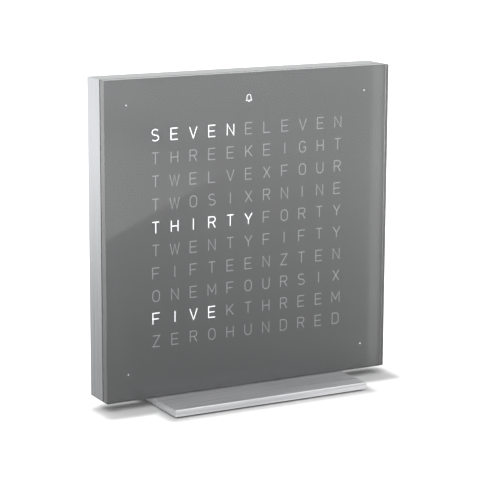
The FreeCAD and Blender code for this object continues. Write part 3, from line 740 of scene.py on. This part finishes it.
@dataclass(frozen=True)
class PenLetters:
    """A plain one-width alphabet drawn with straight runs and arcs.

    Attributes:
        cap_mm: How high a capital is.
        half: Half the usual letter's width, in cap heights.
        wide: Half a wide letter's width, in cap heights.
        crown: How high a round letter's arcs are, in cap heights.
        bowl: Half the height of a small round part, in cap heights.
        turn: How far across a belly's corners reach, in cap heights.
        closed: The letters whose stroke returns to its start.
    """

    cap_mm: float = 5.1
    half: float = 0.33
    wide: float = 0.46
    crown: float = 0.34
    bowl: float = 0.25
    turn: float = 0.3
    closed: str = "DO"

    def strokes(self, letter: str) -> list[Stroke]:
        """Lists a letter's strokes.

        Args:
            letter: A capital letter.

        Returns:
            Its strokes, on the base line and centred.
        """
        half, wide, crown, bowl, turn = (self.half, self.wide, self.crown, self.bowl, self.turn)
        waist = 1 - 2 * bowl
        edge = half - turn
        stem: Outline = [(-half, 0), (-half, 1)]
        post: Outline = [(half, 0), (half, 1)]
        bar: Outline = [(-half, 0.5), (half, 0.5)]
        belly = arc((edge, 1 - crown), (turn, crown), 90, 0) + arc((edge, crown), (turn, crown), 0, -90)
        cup = arc((0, crown), (half, crown), 180, 360)
        dome = arc((0, 1 - crown), (half, crown), 0, 180)
        hook = arc((0, 1 - crown), (half, crown), 30, 180)
        loop = arc((half - bowl, 1 - bowl), (bowl, bowl), 90, -90)
        upper = arc((0, 1 - bowl), (half * 0.92, bowl), 35, 270)
        lower = arc((0, bowl), (half, bowl), 90, -145)[1:]
        table: dict[str, list[Outline]] = {
            "D": [stem + belly],
            "E": [[(half, 1), (-half, 1), (-half, 0), (half, 0)], [(-half, 0.5), (half * 0.8, 0.5)]],
            "F": [[(half, 1), (-half, 1), (-half, 0)], [(-half, 0.48), (half * 0.7, 0.48)]],
            "G": [hook + cup + [(half, 0.46), (0.06, 0.46)]],
            "H": [stem, post, bar],
            "I": [[(0, 0), (0, 1)]],
            "K": [stem, [(half, 1), (-half, 0.36)], [(-half * 0.35, 0.57), (half * 1.05, 0)]],
            "L": [[(-half, 1), (-half, 0), (half, 0)]],
            "M": [[(-half * 1.2, 0), (-half * 1.2, 1), (0, 0.28), (half * 1.2, 1), (half * 1.2, 0)]],
            "N": [stem + post],
            "O": [dome + cup],
            "R": [stem + loop + [(-half, waist)], [(0.04, waist), (half, 0)]],
            "S": [upper + lower],
            "T": [[(-half, 1), (half, 1)], [(0, 1), (0, 0)]],
            "U": [[(-half, 1)] + cup + [(half, 1)]],
            "V": [[(-half * 1.1, 1), (0, 0), (half * 1.1, 1)]],
            "W": [[(-wide, 1), (-wide / 2, 0), (0, 0.94), (wide / 2, 0), (wide, 1)]],
            "X": [[(-half, 0), (half, 1)], [(-half, 1), (half, 0)]],
            "Y": [[(-half * 1.1, 1), (0, 0.44), (half * 1.1, 1)], [(0, 0.44), (0, 0)]],
            "Z": [[(-half, 1), (half, 1), (-half, 0), (half, 0)]],
        }
        return [Stroke(path, closed=letter in self.closed) for path in table[letter]]

    def sheet(self, letter: str, width_mm: float) -> Sheet:
        """Draws a letter.

        Args:
            letter: A capital letter.
            width_mm: The pen's width.

        Returns:
            The letter, centred on nought, in millimetres.
        """
        height = self.cap_mm - width_mm
        return draw(self.strokes(letter), height, width_mm, (0, -height / 2))


@dataclass
class Foil:
    """A mesh of thin flat forms that face forwards, all at one level.

    Attributes:
        front: The forms' front, in metres along y.
        back: Their back, in metres along y.
        corners: The corners so far, in metres.
        faces: The faces so far.
    """

    front: float
    back: float
    corners: list[Spot] = field(default_factory=list)
    faces: list[Face] = field(default_factory=list)

    def add(self, sheet: Sheet, across: float, up: float) -> None:
        """Adds a closed solid form.

        Args:
            sheet: The form's outline, in millimetres.
            across: Where its middle is along x, in metres.
            up: Where its middle is along z, in metres.
        """
        first = len(self.corners)
        count = len(sheet.points)
        spots = [(across + point[0] * MM, up + point[1] * MM) for point in sheet.points]
        for level in (self.front, self.back):
            self.corners += [(spot[0], level, spot[1]) for spot in spots]
        edges: set[tuple[int, int]] = set()
        for face in sheet.faces:
            edges |= {(here, there) for here, there in zip(face, face[1:] + face[:1])}
            self.faces.append([first + corner for corner in face])
            self.faces.append([first + count + corner for corner in reversed(face)])
        rims = [edge for edge in edges if (edge[1], edge[0]) not in edges]
        self.faces += [
            [first + there, first + here, first + count + here, first + count + there] for here, there in rims
        ]

    def piece(self, name: str, finish: Finish) -> None:
        """Makes the forms a piece of the clock.

        Args:
            name: The piece's name.
            finish: What it is made of.
        """
        make_piece(name, raw_mesh(name, self.corners, self.faces), finish)


@dataclass
class ClearCover:
    """The clear front plate.

    Attributes:
        bevel_mm: The polished bevel along its edges.
    """

    bevel_mm: float = 0.2

    def build(self) -> None:
        """Makes the plate in place of its plain solid."""
        low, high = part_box("front_cover")
        mesh = bevelled_block("clear_plate", Vector(low), Vector(high), self.bevel_mm * MM)
        plate = make_piece("clear_plate", mesh, CLEAR_ACRYLIC)
        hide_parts("front_cover")


@dataclass
class LetterField:
    """The printed grey field behind the plate, with its words, corner dots and bell.

    Attributes:
        rows: The letters of each row.
        lit: The lit stretches of rows, each as row, first column and count.
        column_mm: The letters' pitch across.
        row_mm: The rows' pitch.
        dot_mm: The corner dots' diameter.
        dot_sides: How many sides a dot has.
        dot_reach_mm: How far the dots and the bell are from the field's middle.
        bell_line_mm: The pen's width of the bell.
        bell_dome: The bell's outline up from its lip on the left, in millimetres, without its round top.
        bell_top: The centre and the radius of that top, up the middle line, in millimetres.
        clapper_up_mm: How far the clapper's own middle is above the bell's.
        clapper_mm: The clapper's half width and half height.
        lit_width_mm: The pen's width where a lamp makes the line look wider.
        pale_width_mm: The pen's width of unlit letters.
        bed_mm: How far the print stands into the plate's back, as it wets it.
        inset_mm: How far the print stays inside the plate's edges.
        rim_mm: The bevel along the film's own edges.
        letters: The alphabet.
    """

    rows: tuple[str, ...] = (
        "SEVENELEVEN",
        "THREEKEIGHT",
        "TWELVEXFOUR",
        "TWOSIXRNINE",
        "THIRTYFORTY",
        "TWENTYFIFTY",
        "FIFTEENZTEN",
        "ONEMFOURSIX",
        "FIVEKTHREEM",
        "ZEROHUNDRED",
    )
    lit: tuple[tuple[int, int, int], ...] = ((0, 0, 5), (4, 0, 6), (8, 0, 4))
    column_mm: float = 8.72
    row_mm: float = 9.69
    dot_mm: float = 0.6
    dot_sides: int = 16
    dot_reach_mm: float = 56.6
    bell_line_mm: float = 0.24
    bell_dome: tuple[Point, ...] = ((-1.35, -1.15), (-0.95, -0.6))
    bell_top: Point = (0.35, 0.95)
    clapper_up_mm: float = -1.25
    clapper_mm: Point = (0.42, 0.45)
    lit_width_mm: float = 0.38
    pale_width_mm: float = 0.4
    bed_mm: float = 0.02
    inset_mm: float = 0.1
    rim_mm: float = 0.005
    letters: PenLetters = PenLetters()

    def is_lit(self, row: int, column: int) -> bool:
        """Says whether a letter's lamp is on."""
        return any(row == lit and first <= column < first + count for lit, first, count in self.lit)

    def print_film(self, low: Vector, high: Vector) -> None:
        """Makes the grey film, its front in the plate's back as wet print is.

        Args:
            low: The film's lowest corner.
            high: Its highest corner.
        """
        inset = self.inset_mm * MM
        start = low + Vector((inset, -self.bed_mm * MM, inset))
        end = high - Vector((inset, 0, inset))
        mesh = bevelled_block("grey_film", start, end, self.rim_mm * MM)
        film = make_piece("grey_film", mesh, GREY_LACQUER)
        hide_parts("letter_mask")

    def print_letters(self, middle: Vector, front: float, back: float) -> None:
        """Makes the lit and the unlit letters.

        Args:
            middle: The field's middle.
            front: The letters' front along y.
            back: Their back along y.
        """
        lit = Foil(front, back)
        pale = Foil(front, back)
        for row, text in enumerate(self.rows):
            for column, letter in enumerate(text):
                across = middle.x + (column - (len(text) - 1) / 2) * self.column_mm * MM
                up = middle.z + ((len(self.rows) - 1) / 2 - row) * self.row_mm * MM
                if self.is_lit(row, column):
                    lit.add(self.letters.sheet(letter, self.lit_width_mm), across, up)
                else:
                    pale.add(self.letters.sheet(letter, self.pale_width_mm), across, up)
        lit.piece("lit_words", LIT_FILM)
        pale.piece("unlit_letters", PALE_FILM)

    def print_dots(self, middle: Vector, front: float, back: float) -> None:
        """Makes the four corner dots.

        Args:
            middle: The field's middle.
            front: The dots' front along y.
            back: Their back along y.
        """
        disc = arc((0, 0), (self.dot_mm / 2, self.dot_mm / 2), 0, 360, self.dot_sides)[:-1]
        dot = Sheet(disc, [list(range(len(disc)))])
        reach = self.dot_reach_mm * MM
        dots = Foil(front, back)
        for across in (-reach, reach):
            for up in (-reach, reach):
                dots.add(dot, middle.x + across, middle.z + up)
        dots.piece("corner_dots", LIT_FILM)

    def print_bell(self, middle: Vector, front: float, back: float) -> None:
        """Makes the bell sign: a dome with a flared lip, and its clapper below.

        Args:
            middle: The field's middle.
            front: The bell's front along y.
            back: Its back along y.
        """
        centre, radius = self.bell_top
        left = list(self.bell_dome)
        right = [(-across, up) for across, up in reversed(left)]
        dome = left + arc((0, centre), (radius, radius), 180, 0) + right
        clapper = arc((0, self.clapper_up_mm), self.clapper_mm, 200, 340, 6)
        bell = draw([Stroke(dome, closed=True), Stroke(clapper)], 1.0, self.bell_line_mm, (0, 0))
        sign = Foil(front, back)
        sign.add(bell, middle.x, middle.z + self.dot_reach_mm * MM)
        sign.piece("alarm_bell_sign", LIT_FILM)

    def build(self) -> None:
        """Makes the film and all that is printed on it."""
        low, high = (Vector(corner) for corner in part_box("letter_mask"))
        self.print_film(low, high)
        film_front = low.y - self.bed_mm * MM
        letter_front = film_front - self.bed_mm * MM
        letter_back = film_front + self.bed_mm * MM
        middle = (low + high) / 2
        self.print_letters(middle, letter_front, letter_back)
        self.print_dots(middle, letter_front, letter_back)
        self.print_bell(middle, letter_front, letter_back)


@dataclass
class Turned:
    """A mesh of screws turned about lines along y.

    Attributes:
        corners: The corners so far, in metres.
        faces: The faces so far.
        sides: How many sides a round form has.
    """

    corners: list[Spot] = field(default_factory=list)
    faces: list[Face] = field(default_factory=list)
    sides: int = 24

    def circle(self, radius: float) -> Outline:
        """Lists a circle's corners, for a radius in millimetres."""
        return arc((0, 0), (radius, radius), 0, 360, self.sides)[:-1]

    def level(self, place: Vector, outline: Outline, along: float) -> list[int]:
        """Adds corners at one depth.

        Args:
            place: The screw's outer end, in metres.
            outline: The corners across and up, in millimetres.
            along: How far in they are, in millimetres.

        Returns:
            Their numbers.
        """
        first = len(self.corners)
        level = place.y - along * MM
        self.corners += [(place.x + spot[0] * MM, level, place.z + spot[1] * MM) for spot in outline]
        return list(range(first, len(self.corners)))

    def wall(self, outer: list[int], inner: list[int]) -> None:
        """Joins two rings of corners by a wall.

        Args:
            outer: The ring further out.
            inner: The ring further in.
        """
        count = len(outer)
        for at in range(count):
            after = (at + 1) % count
            self.faces.append([outer[at], outer[after], inner[after], inner[at]])

    def screw(self, place: Vector, profile: Outline, cross: Outline, deep: float) -> None:
        """Adds a screw with a cross recess.

        Args:
            place: Its head's outer end, in metres.
            profile: Its radius and depth at each step, from the head in, in millimetres.
            cross: The recess's outline, in millimetres.
            deep: The recess's depth, in millimetres.
        """
        rim = self.circle(profile[0][0])
        count = len(rim)
        shapes = [list(range(count)), list(range(count, count + len(cross)))]
        spots = [Vector(spot) for spot in rim + cross]
        flat = delaunay_2d_cdt(spots, [], shapes, Filling.TRIANGLES.value, JOIN_MM)
        top = self.level(place, [(spot.x, spot.y) for spot in flat[0]], 0.0)
        # Faces that only the rim's shape owns are the head's; those of the cross too are its mouth
        for face, owners in zip(flat[2], flat[5]):
            if owners == [0]:
                self.faces.append([top[corner] for corner in reversed(face)])
        origin = {old: new for new, olds in enumerate(flat[3]) for old in olds}
        mouth = [top[origin[count + at]] for at in range(len(cross))]
        floor = self.level(place, cross, deep)
        self.wall(floor, mouth)
        self.faces.append(list(reversed(floor)))
        outer = [top[origin[at]] for at in range(count)]
        for radius, along in profile[1:]:
            inner = self.level(place, self.circle(radius), along)
            self.wall(outer, inner)
            outer = inner
        self.faces.append(outer)


@dataclass
class Screws:
    """The back cover's countersunk screws and the board's pan-headed ones, with cross recesses.

    Attributes:
        cross_mm: The recess's reach from the middle.
        slit_mm: Half the width of its arms.
        deep_mm: How deep it is.
        thread_mm: The threads' radius.
        sunk_mm: A countersunk head's radius.
        rim_mm: How deep its straight rim is.
        cone_mm: How deep its cone ends.
        tip_mm: The radius and the length of a countersunk screw's tapered tip.
        pan_mm: How high a pan head is.
        pan: A pan-headed screw's radius and depth along its head, in millimetres.
        pan_end: The same along its tapered tip.
        board_across_mm: How far the board's screws are from the middle.
        board_up_mm: How far they are above and below the board's middle.
    """

    cross_mm: float = 1.1
    slit_mm: float = 0.25
    deep_mm: float = 0.7
    thread_mm: float = 1.0
    sunk_mm: float = 1.9
    rim_mm: float = 0.15
    cone_mm: float = 1.05
    tip_mm: Point = (0.5, 0.6)
    pan_mm: float = 1.3
    pan: tuple[Point, ...] = ((1.4, 0.0), (1.75, 0.35), (1.75, 1.3))
    pan_end: tuple[Point, ...] = ((1.0, 5.5), (0.6, 5.8))
    board_across_mm: float = 40.0
    board_up_mm: float = 61.5

    def cross(self) -> Outline:
        """Lists the recess's twelve corners.

        Returns:
            The corners, once round.
        """
        reach = self.cross_mm
        slit = self.slit_mm
        arm = [(reach, -slit), (reach, slit), (slit, slit)]
        turns = [(1, 0), (0, 1), (-1, 0), (0, -1)]
        return [(x * cos - y * sin, x * sin + y * cos) for cos, sin in turns for x, y in arm]

    def four(self, name: str, middle: Vector, reach: Point, profile: Outline) -> bpy.types.Object:
        """Makes a piece of four equal screws.

        Args:
            name: The piece's name.
            middle: The middle between the four heads' outer ends.
            reach: How far they are from it across and up.
            profile: Their radius and depth at each step, in millimetres.

        Returns:
            The piece.
        """
        pins = Turned()
        for across in (-1, 1):
            for up in (-1, 1):
                place = middle + Vector((across * reach[0], 0, up * reach[1]))
                pins.screw(place, profile, self.cross(), self.deep_mm)
        return make_piece(name, raw_mesh(name, pins.corners, pins.faces), SCREW_STEEL)

    def build(self) -> None:
        """Makes both kinds of screw."""
        low, high = (Vector(corner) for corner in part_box("back_cover_screws"))
        middle = (low + high) / 2
        head = self.sunk_mm * MM
        reach = ((high.x - low.x) / 2 - head, (high.z - low.z) / 2 - head)
        length = (high.y - low.y) / MM
        tip_radius, tip_length = self.tip_mm
        sunk = [
            (self.sunk_mm, 0.0),
            (self.sunk_mm, self.rim_mm),
            (self.thread_mm, self.cone_mm),
            (self.thread_mm, length - tip_length),
            (tip_radius, length),
        ]
        made = self.four("cross_head_screws", Vector((middle.x, high.y, middle.z)), reach, sunk)
        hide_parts("back_cover_screws")
        low, high = (Vector(corner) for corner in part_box("led_board"))
        middle = (low + high) / 2
        centre = Vector((middle.x, high.y + self.pan_mm * MM, middle.z))
        pan = [*self.pan, (self.thread_mm, self.pan_mm), *self.pan_end]
        self.four("board_screws", centre, (self.board_across_mm * MM, self.board_up_mm * MM), pan)


@dataclass
class Casework:
    """The pieces that keep their solids: case, foot, back and all that is inside."""

    def build(self) -> None:
        """Dresses each node in the finish of its slot."""
        for part in frame["record"]["subparts"]:
            dress(part["node"], FINISHES[part["material_slot"]])


@dataclass(frozen=True)
class Softbox:
    """A square soft lamp that faces the clock.

    It doesn't shine through the clear plate, so the print behind it has the room's even light.

    Attributes:
        name: The lamp's name.
        place: Where it hangs, in metres.
        watts: How strong it is.
        width_m: Its width.
        aim_m: How high above the floor it is aimed.
    """

    name: str
    place: Spot
    watts: float
    width_m: float
    aim_m: float = 0.05

    def hang(self) -> None:
        """Hangs the lamp."""
        data = bpy.data.lights.new(self.name, "AREA")
        data.energy = self.watts
        data.size = self.width_m
        lamp = bpy.data.objects.new(self.name, data)
        bpy.context.scene.collection.objects.link(lamp)
        lamp.location = self.place
        ahead = Vector((0, 0, self.aim_m)) - Vector(self.place)
        lamp.rotation_euler = ahead.to_track_quat("-Z", "Y").to_euler()
        lamp.visible_transmission = False


@dataclass
class Studio:
    """A white sweep under soft light.

    The floor adds white where the eye looks past a zone by the clock, set forward of the case; there it
    keeps its real shadow, and its own grey shows as painted shadow. It adds panels of light that only
    gloss and clear pieces see.

    Attributes:
        floor_m: The floor's width.
        sink_mm: How far the floor lies below the foot's pad, so that they don't touch.
        floor_shade: The floor's own colour, a grey that shows as painted shadow in the zone by the clock.
        painted_shadow_ahead_m: How far forward of the case the zone of painted shadow is set, away from the
            lamp above and behind.
        shadow: How the floor goes from the zone by the clock, with its real and its painted shadow, to the
            plain white background.
        behind: What gloss sees added to the floor behind the clock, by distance, where one is white.
        front: Where the floor in front takes over, along y.
        right: What gloss sees added on the right in front, along x.
        panel: What a flat panel of light adds where the clear front mirrors its straight edge.
        panel_way: The level direction across that edge.
        panel_end: How the panel fades to the right, along x.
        strip_from: The spot that a long lamp's edges run out from, across and along.
        strip_rise: What the lamp adds from its near edge on, by slope off that spot.
        strip_fall: How it ends at its far edge.
        room: How bright the room is to dull surfaces, and to the eye and gloss.
        lamps: The soft lamps.
    """

    floor_m: float = 12.0
    sink_mm: float = 0.01
    # The floor's grey shows near the clock as painted shadow, in a zone set forward of the case, along with
    # its real shadow
    floor_shade: str = "#d6d6d6"
    painted_shadow_ahead_m: float = 0.011
    shadow: Fade = Fade(0.0, 0.011)
    behind: Fade = Fade(0.06, 0.75, 0.1, 1.3)
    front: Fade = Fade(0.0, -0.05, smooth=False)
    right: Fade = Fade(0.0, 0.35, 0.0, 1.6, smooth=False)
    panel: Fade = Fade(0.169, 0.177, 0.0, 1.7)
    panel_way: Spot = (-0.7216, -0.6923, 0.0)
    panel_end: Fade = Fade(0.22, 0.45, 1.0, 0.0, smooth=False)
    strip_from: Point = (-0.379, 0.6908)
    strip_rise: Fade = Fade(0.6245, 0.629)
    strip_fall: Fade = Fade(0.6325, 0.6365, 1.0, 0.0)
    room: Fade = Fade(0.0, 1.0, 0.5, 1.0, smooth=False)
    lamps: tuple[Softbox, ...] = (
        Softbox("softbox_above", (-0.3, 0.5, 2.0), 26.0, 2.6),
        Softbox("softbox_left", (-1.1, -1.2, 1.5), 14.0, 1.8),
        Softbox("softbox_right", (1.2, -0.9, 1.5), 6.0, 1.8),
    )

    def mirrored(self, tree: Tree) -> Socket:
        """Tells rays off gloss and through clear pieces from the rest.

        Args:
            tree: The tree that gets the nodes.

        Returns:
            A socket that is one for such rays.
        """
        path = add_node(tree, "ShaderNodeLightPath").outputs
        rays = {0: path["Is Glossy Ray"], 1: path["Is Transmission Ray"]}
        return add_node(tree, "ShaderNodeMath", rays, operation="MAXIMUM").outputs[0]

    def away(self, tree: Tree, place: Socket, node: str, ahead: float) -> Socket:
        """Works out how far a spot of the floor is from a piece's outline.

        Args:
            tree: The floor's node tree.
            place: The spot.
            node: The piece's node.
            ahead: How far in front of the piece its outline is taken, in metres.

        Returns:
            The distance's socket, nought inside the outline.
        """
        low, high = (Vector(corner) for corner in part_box(node))
        middle = (low + high) / 2 - Vector((0, ahead, 0))
        half = (high - low) / 2
        steps: tuple[tuple[str, Spot], ...] = (
            ("SUBTRACT", (middle.x, middle.y, 0)),
            ("ABSOLUTE", (0, 0, 0)),
            ("SUBTRACT", (half.x, half.y, 1)),
            ("MAXIMUM", (0, 0, 0)),
        )
        for operation, value in steps:
            moved = add_node(tree, "ShaderNodeVectorMath", {0: place, 1: value}, operation=operation)
            place = moved.outputs[0]
        return add_node(tree, "ShaderNodeVectorMath", {0: place}, operation="LENGTH").outputs["Value"]

    def plain(self, tree: Tree, place: Socket) -> Socket:
        """Works out where the floor is plain background, beyond the zone by the clock that keeps its real
        shadow and shows the floor's grey as painted shadow.

        Args:
            tree: The floor's node tree.
            place: The spot.

        Returns:
            The socket, one where it is plain.
        """
        # The case's outline is taken forward of it, so that the painted shadow lies in front of the case
        case = self.away(tree, place, "housing", self.painted_shadow_ahead_m)
        foot = self.away(tree, place, "foot_plate", 0.0)
        beside = add_node(tree, "ShaderNodeMath", {0: case, 1: foot}, operation="MINIMUM")
        return self.shadow.along(tree, beside.outputs[0])

    def panel_light(self, tree: Tree, place: Socket, across: Socket) -> Socket:
        """Lays a panel of light over the sweep in front: its straight edge shows in the gloss.

        Args:
            tree: The floor's node tree.
            place: The spot.
            across: Where it is along x.

        Returns:
            The light's socket.
        """
        edge = add_node(
            tree, "ShaderNodeVectorMath", {0: place, 1: self.panel_way}, operation="DOT_PRODUCT"
        )
        panel = self.panel.along(tree, edge.outputs["Value"])
        end = self.panel_end.along(tree, across)
        faded = add_node(tree, "ShaderNodeMath", {0: panel, 1: end}, operation="MULTIPLY")
        right = self.right.along(tree, across)
        both = add_node(tree, "ShaderNodeMath", {0: faded.outputs[0], 1: right}, operation="MAXIMUM")
        return both.outputs[0]

    def strip_light(self, tree: Tree, across: Socket, along: Socket) -> Socket:
        """Lays a long lamp off the plate's right edge: the gloss shows it as an upright band.

        Args:
            tree: The floor's node tree.
            across: Where a spot is along x.
            along: Where it is along y.

        Returns:
            The light's socket.
        """
        left, far = self.strip_from
        run = add_node(tree, "ShaderNodeMath", {0: across, 1: left}, operation="SUBTRACT").outputs[0]
        depth = add_node(tree, "ShaderNodeMath", {0: far, 1: along}, operation="SUBTRACT").outputs[0]
        slope = add_node(tree, "ShaderNodeMath", {0: run, 1: depth}, operation="DIVIDE").outputs[0]
        edges = {0: self.strip_rise.along(tree, slope), 1: self.strip_fall.along(tree, slope)}
        return add_node(tree, "ShaderNodeMath", edges, operation="MULTIPLY").outputs[0]

    def glow(self, tree: Tree) -> Socket:
        """Works out the floor's added white, for the eye and for gloss.

        Args:
            tree: The floor's node tree.

        Returns:
            The strength's socket.
        """
        place = add_node(tree, "ShaderNodeTexCoord").outputs["Object"]
        split = add_node(tree, "ShaderNodeSeparateXYZ", {0: place}).outputs
        distance = add_node(tree, "ShaderNodeVectorMath", {0: place}, operation="LENGTH").outputs["Value"]
        lights = {
            0: self.panel_light(tree, place, split["X"]),
            1: self.strip_light(tree, split["X"], split["Y"]),
        }
        ahead = add_node(tree, "ShaderNodeMath", lights, operation="ADD")
        blend = add_node(
            tree,
            "ShaderNodeMix",
            {
                "Factor": self.front.along(tree, split["Y"]),
                "A": self.behind.along(tree, distance),
                "B": ahead.outputs[0],
            },
            data_type="FLOAT",
        )
        seen = {0: blend.outputs["Result"], 1: self.mirrored(tree)}
        gloss = add_node(tree, "ShaderNodeMath", seen, operation="MULTIPLY")
        eye = add_node(tree, "ShaderNodeLightPath").outputs["Is Camera Ray"]
        both = {0: self.plain(tree, place), 1: eye, 2: gloss.outputs[0]}
        return add_node(tree, "ShaderNodeMath", both, operation="MULTIPLY_ADD").outputs[0]

    def lay_floor(self) -> None:
        """Makes the white floor, which keeps the clock's real shadow and, in the zone by the clock, a grey
        painted shadow.
        """
        reach = self.floor_m / 2
        level = -self.sink_mm * MM
        ways = ((-1, -1), (1, -1), (1, 1), (-1, 1))
        corners = [(across * reach, along * reach, level) for across, along in ways]
        mesh = raw_mesh("floor", corners, [[0, 1, 2, 3]])
        floor = bpy.data.objects.new("floor", mesh)
        bpy.context.scene.collection.objects.link(floor)
        made = bpy.data.materials.new("matt_white_sweep")
        made.use_nodes = True
        tree = made.node_tree
        tree.nodes.clear()
        paint = add_node(tree, "ShaderNodeBsdfDiffuse", {"Color": linear(self.floor_shade)})
        light = add_node(tree, "ShaderNodeEmission", {"Strength": self.glow(tree)})
        both = add_node(tree, "ShaderNodeAddShader", {0: paint.outputs[0], 1: light.outputs[0]})
        add_node(tree, "ShaderNodeOutputMaterial", {"Surface": both.outputs[0]})
        mesh.materials.append(made)

    def light_room(self) -> None:
        """Makes the room white to the eye and to gloss, and softer to dull surfaces."""
        world = bpy.data.worlds.new("white_room")
        bpy.context.scene.world = world
        world.use_nodes = True
        tree = world.node_tree
        tree.nodes.clear()
        eye = add_node(tree, "ShaderNodeLightPath").outputs["Is Camera Ray"]
        seen = add_node(tree, "ShaderNodeMath", {0: eye, 1: self.mirrored(tree)}, operation="MAXIMUM")
        level = self.room.along(tree, seen.outputs[0])
        light = add_node(tree, "ShaderNodeBackground", {"Color": (1, 1, 1, 1), "Strength": level})
        add_node(tree, "ShaderNodeOutputWorld", {"Surface": light.outputs[0]})

    def build(self) -> None:
        """Sets up floor, room and lamps."""
        self.lay_floor()
        self.light_room()
        for lamp in self.lamps:
            lamp.hang()


@dataclass(frozen=True)
class Viewpoint:
    """The camera at the photograph's own angle, worked out from the clock's corners in it.

    Attributes:
        place: Where it stands, in metres.
        target: What it looks at, in metres.
        roll: How far it leans, in degrees.
        lens_mm: Its focal length.
        frame_mm: Its frame's width.
        clip_m: The nearest and the furthest that it sees.
    """

    place: Spot = (-0.3790, -0.7078, 0.2313)
    target: Spot = (-0.00534, -0.0085, 0.06765)
    roll: float = 0.214
    lens_mm: float = 143.47
    frame_mm: float = 36.0
    clip_m: Point = (0.05, 50.0)

    def build(self) -> None:
        """Makes the camera and looks through it."""
        data = bpy.data.cameras.new("camera")
        data.sensor_width = self.frame_mm
        data.lens = self.lens_mm
        data.clip_start, data.clip_end = self.clip_m
        camera = bpy.data.objects.new("camera", data)
        bpy.context.scene.collection.objects.link(camera)
        ahead = (Vector(self.target) - Vector(self.place)).normalized()
        right = ahead.cross(Vector((0, 0, 1))).normalized()
        above = right.cross(ahead)
        lean = math.radians(self.roll)
        across = right * math.cos(lean) + above * math.sin(lean)
        upright = above * math.cos(lean) - right * math.sin(lean)
        turn = Matrix((across, upright, -ahead)).transposed()
        camera.matrix_world = Matrix.LocRotScale(Vector(self.place), turn.to_quaternion(), None)
        bpy.context.scene.camera = camera


def main() -> None:
    """Builds the clock's looks, the studio and the camera in order."""
    logging.basicConfig(level=logging.INFO, format="%(message)s")
    scene = bpy.context.scene
    scene.view_settings.view_transform = "Standard"
    ClearCover().build()
    LetterField().build()
    Screws().build()
    Casework().build()
    Studio().build()
    Viewpoint().build()


if __name__ == "__main__":
    main()
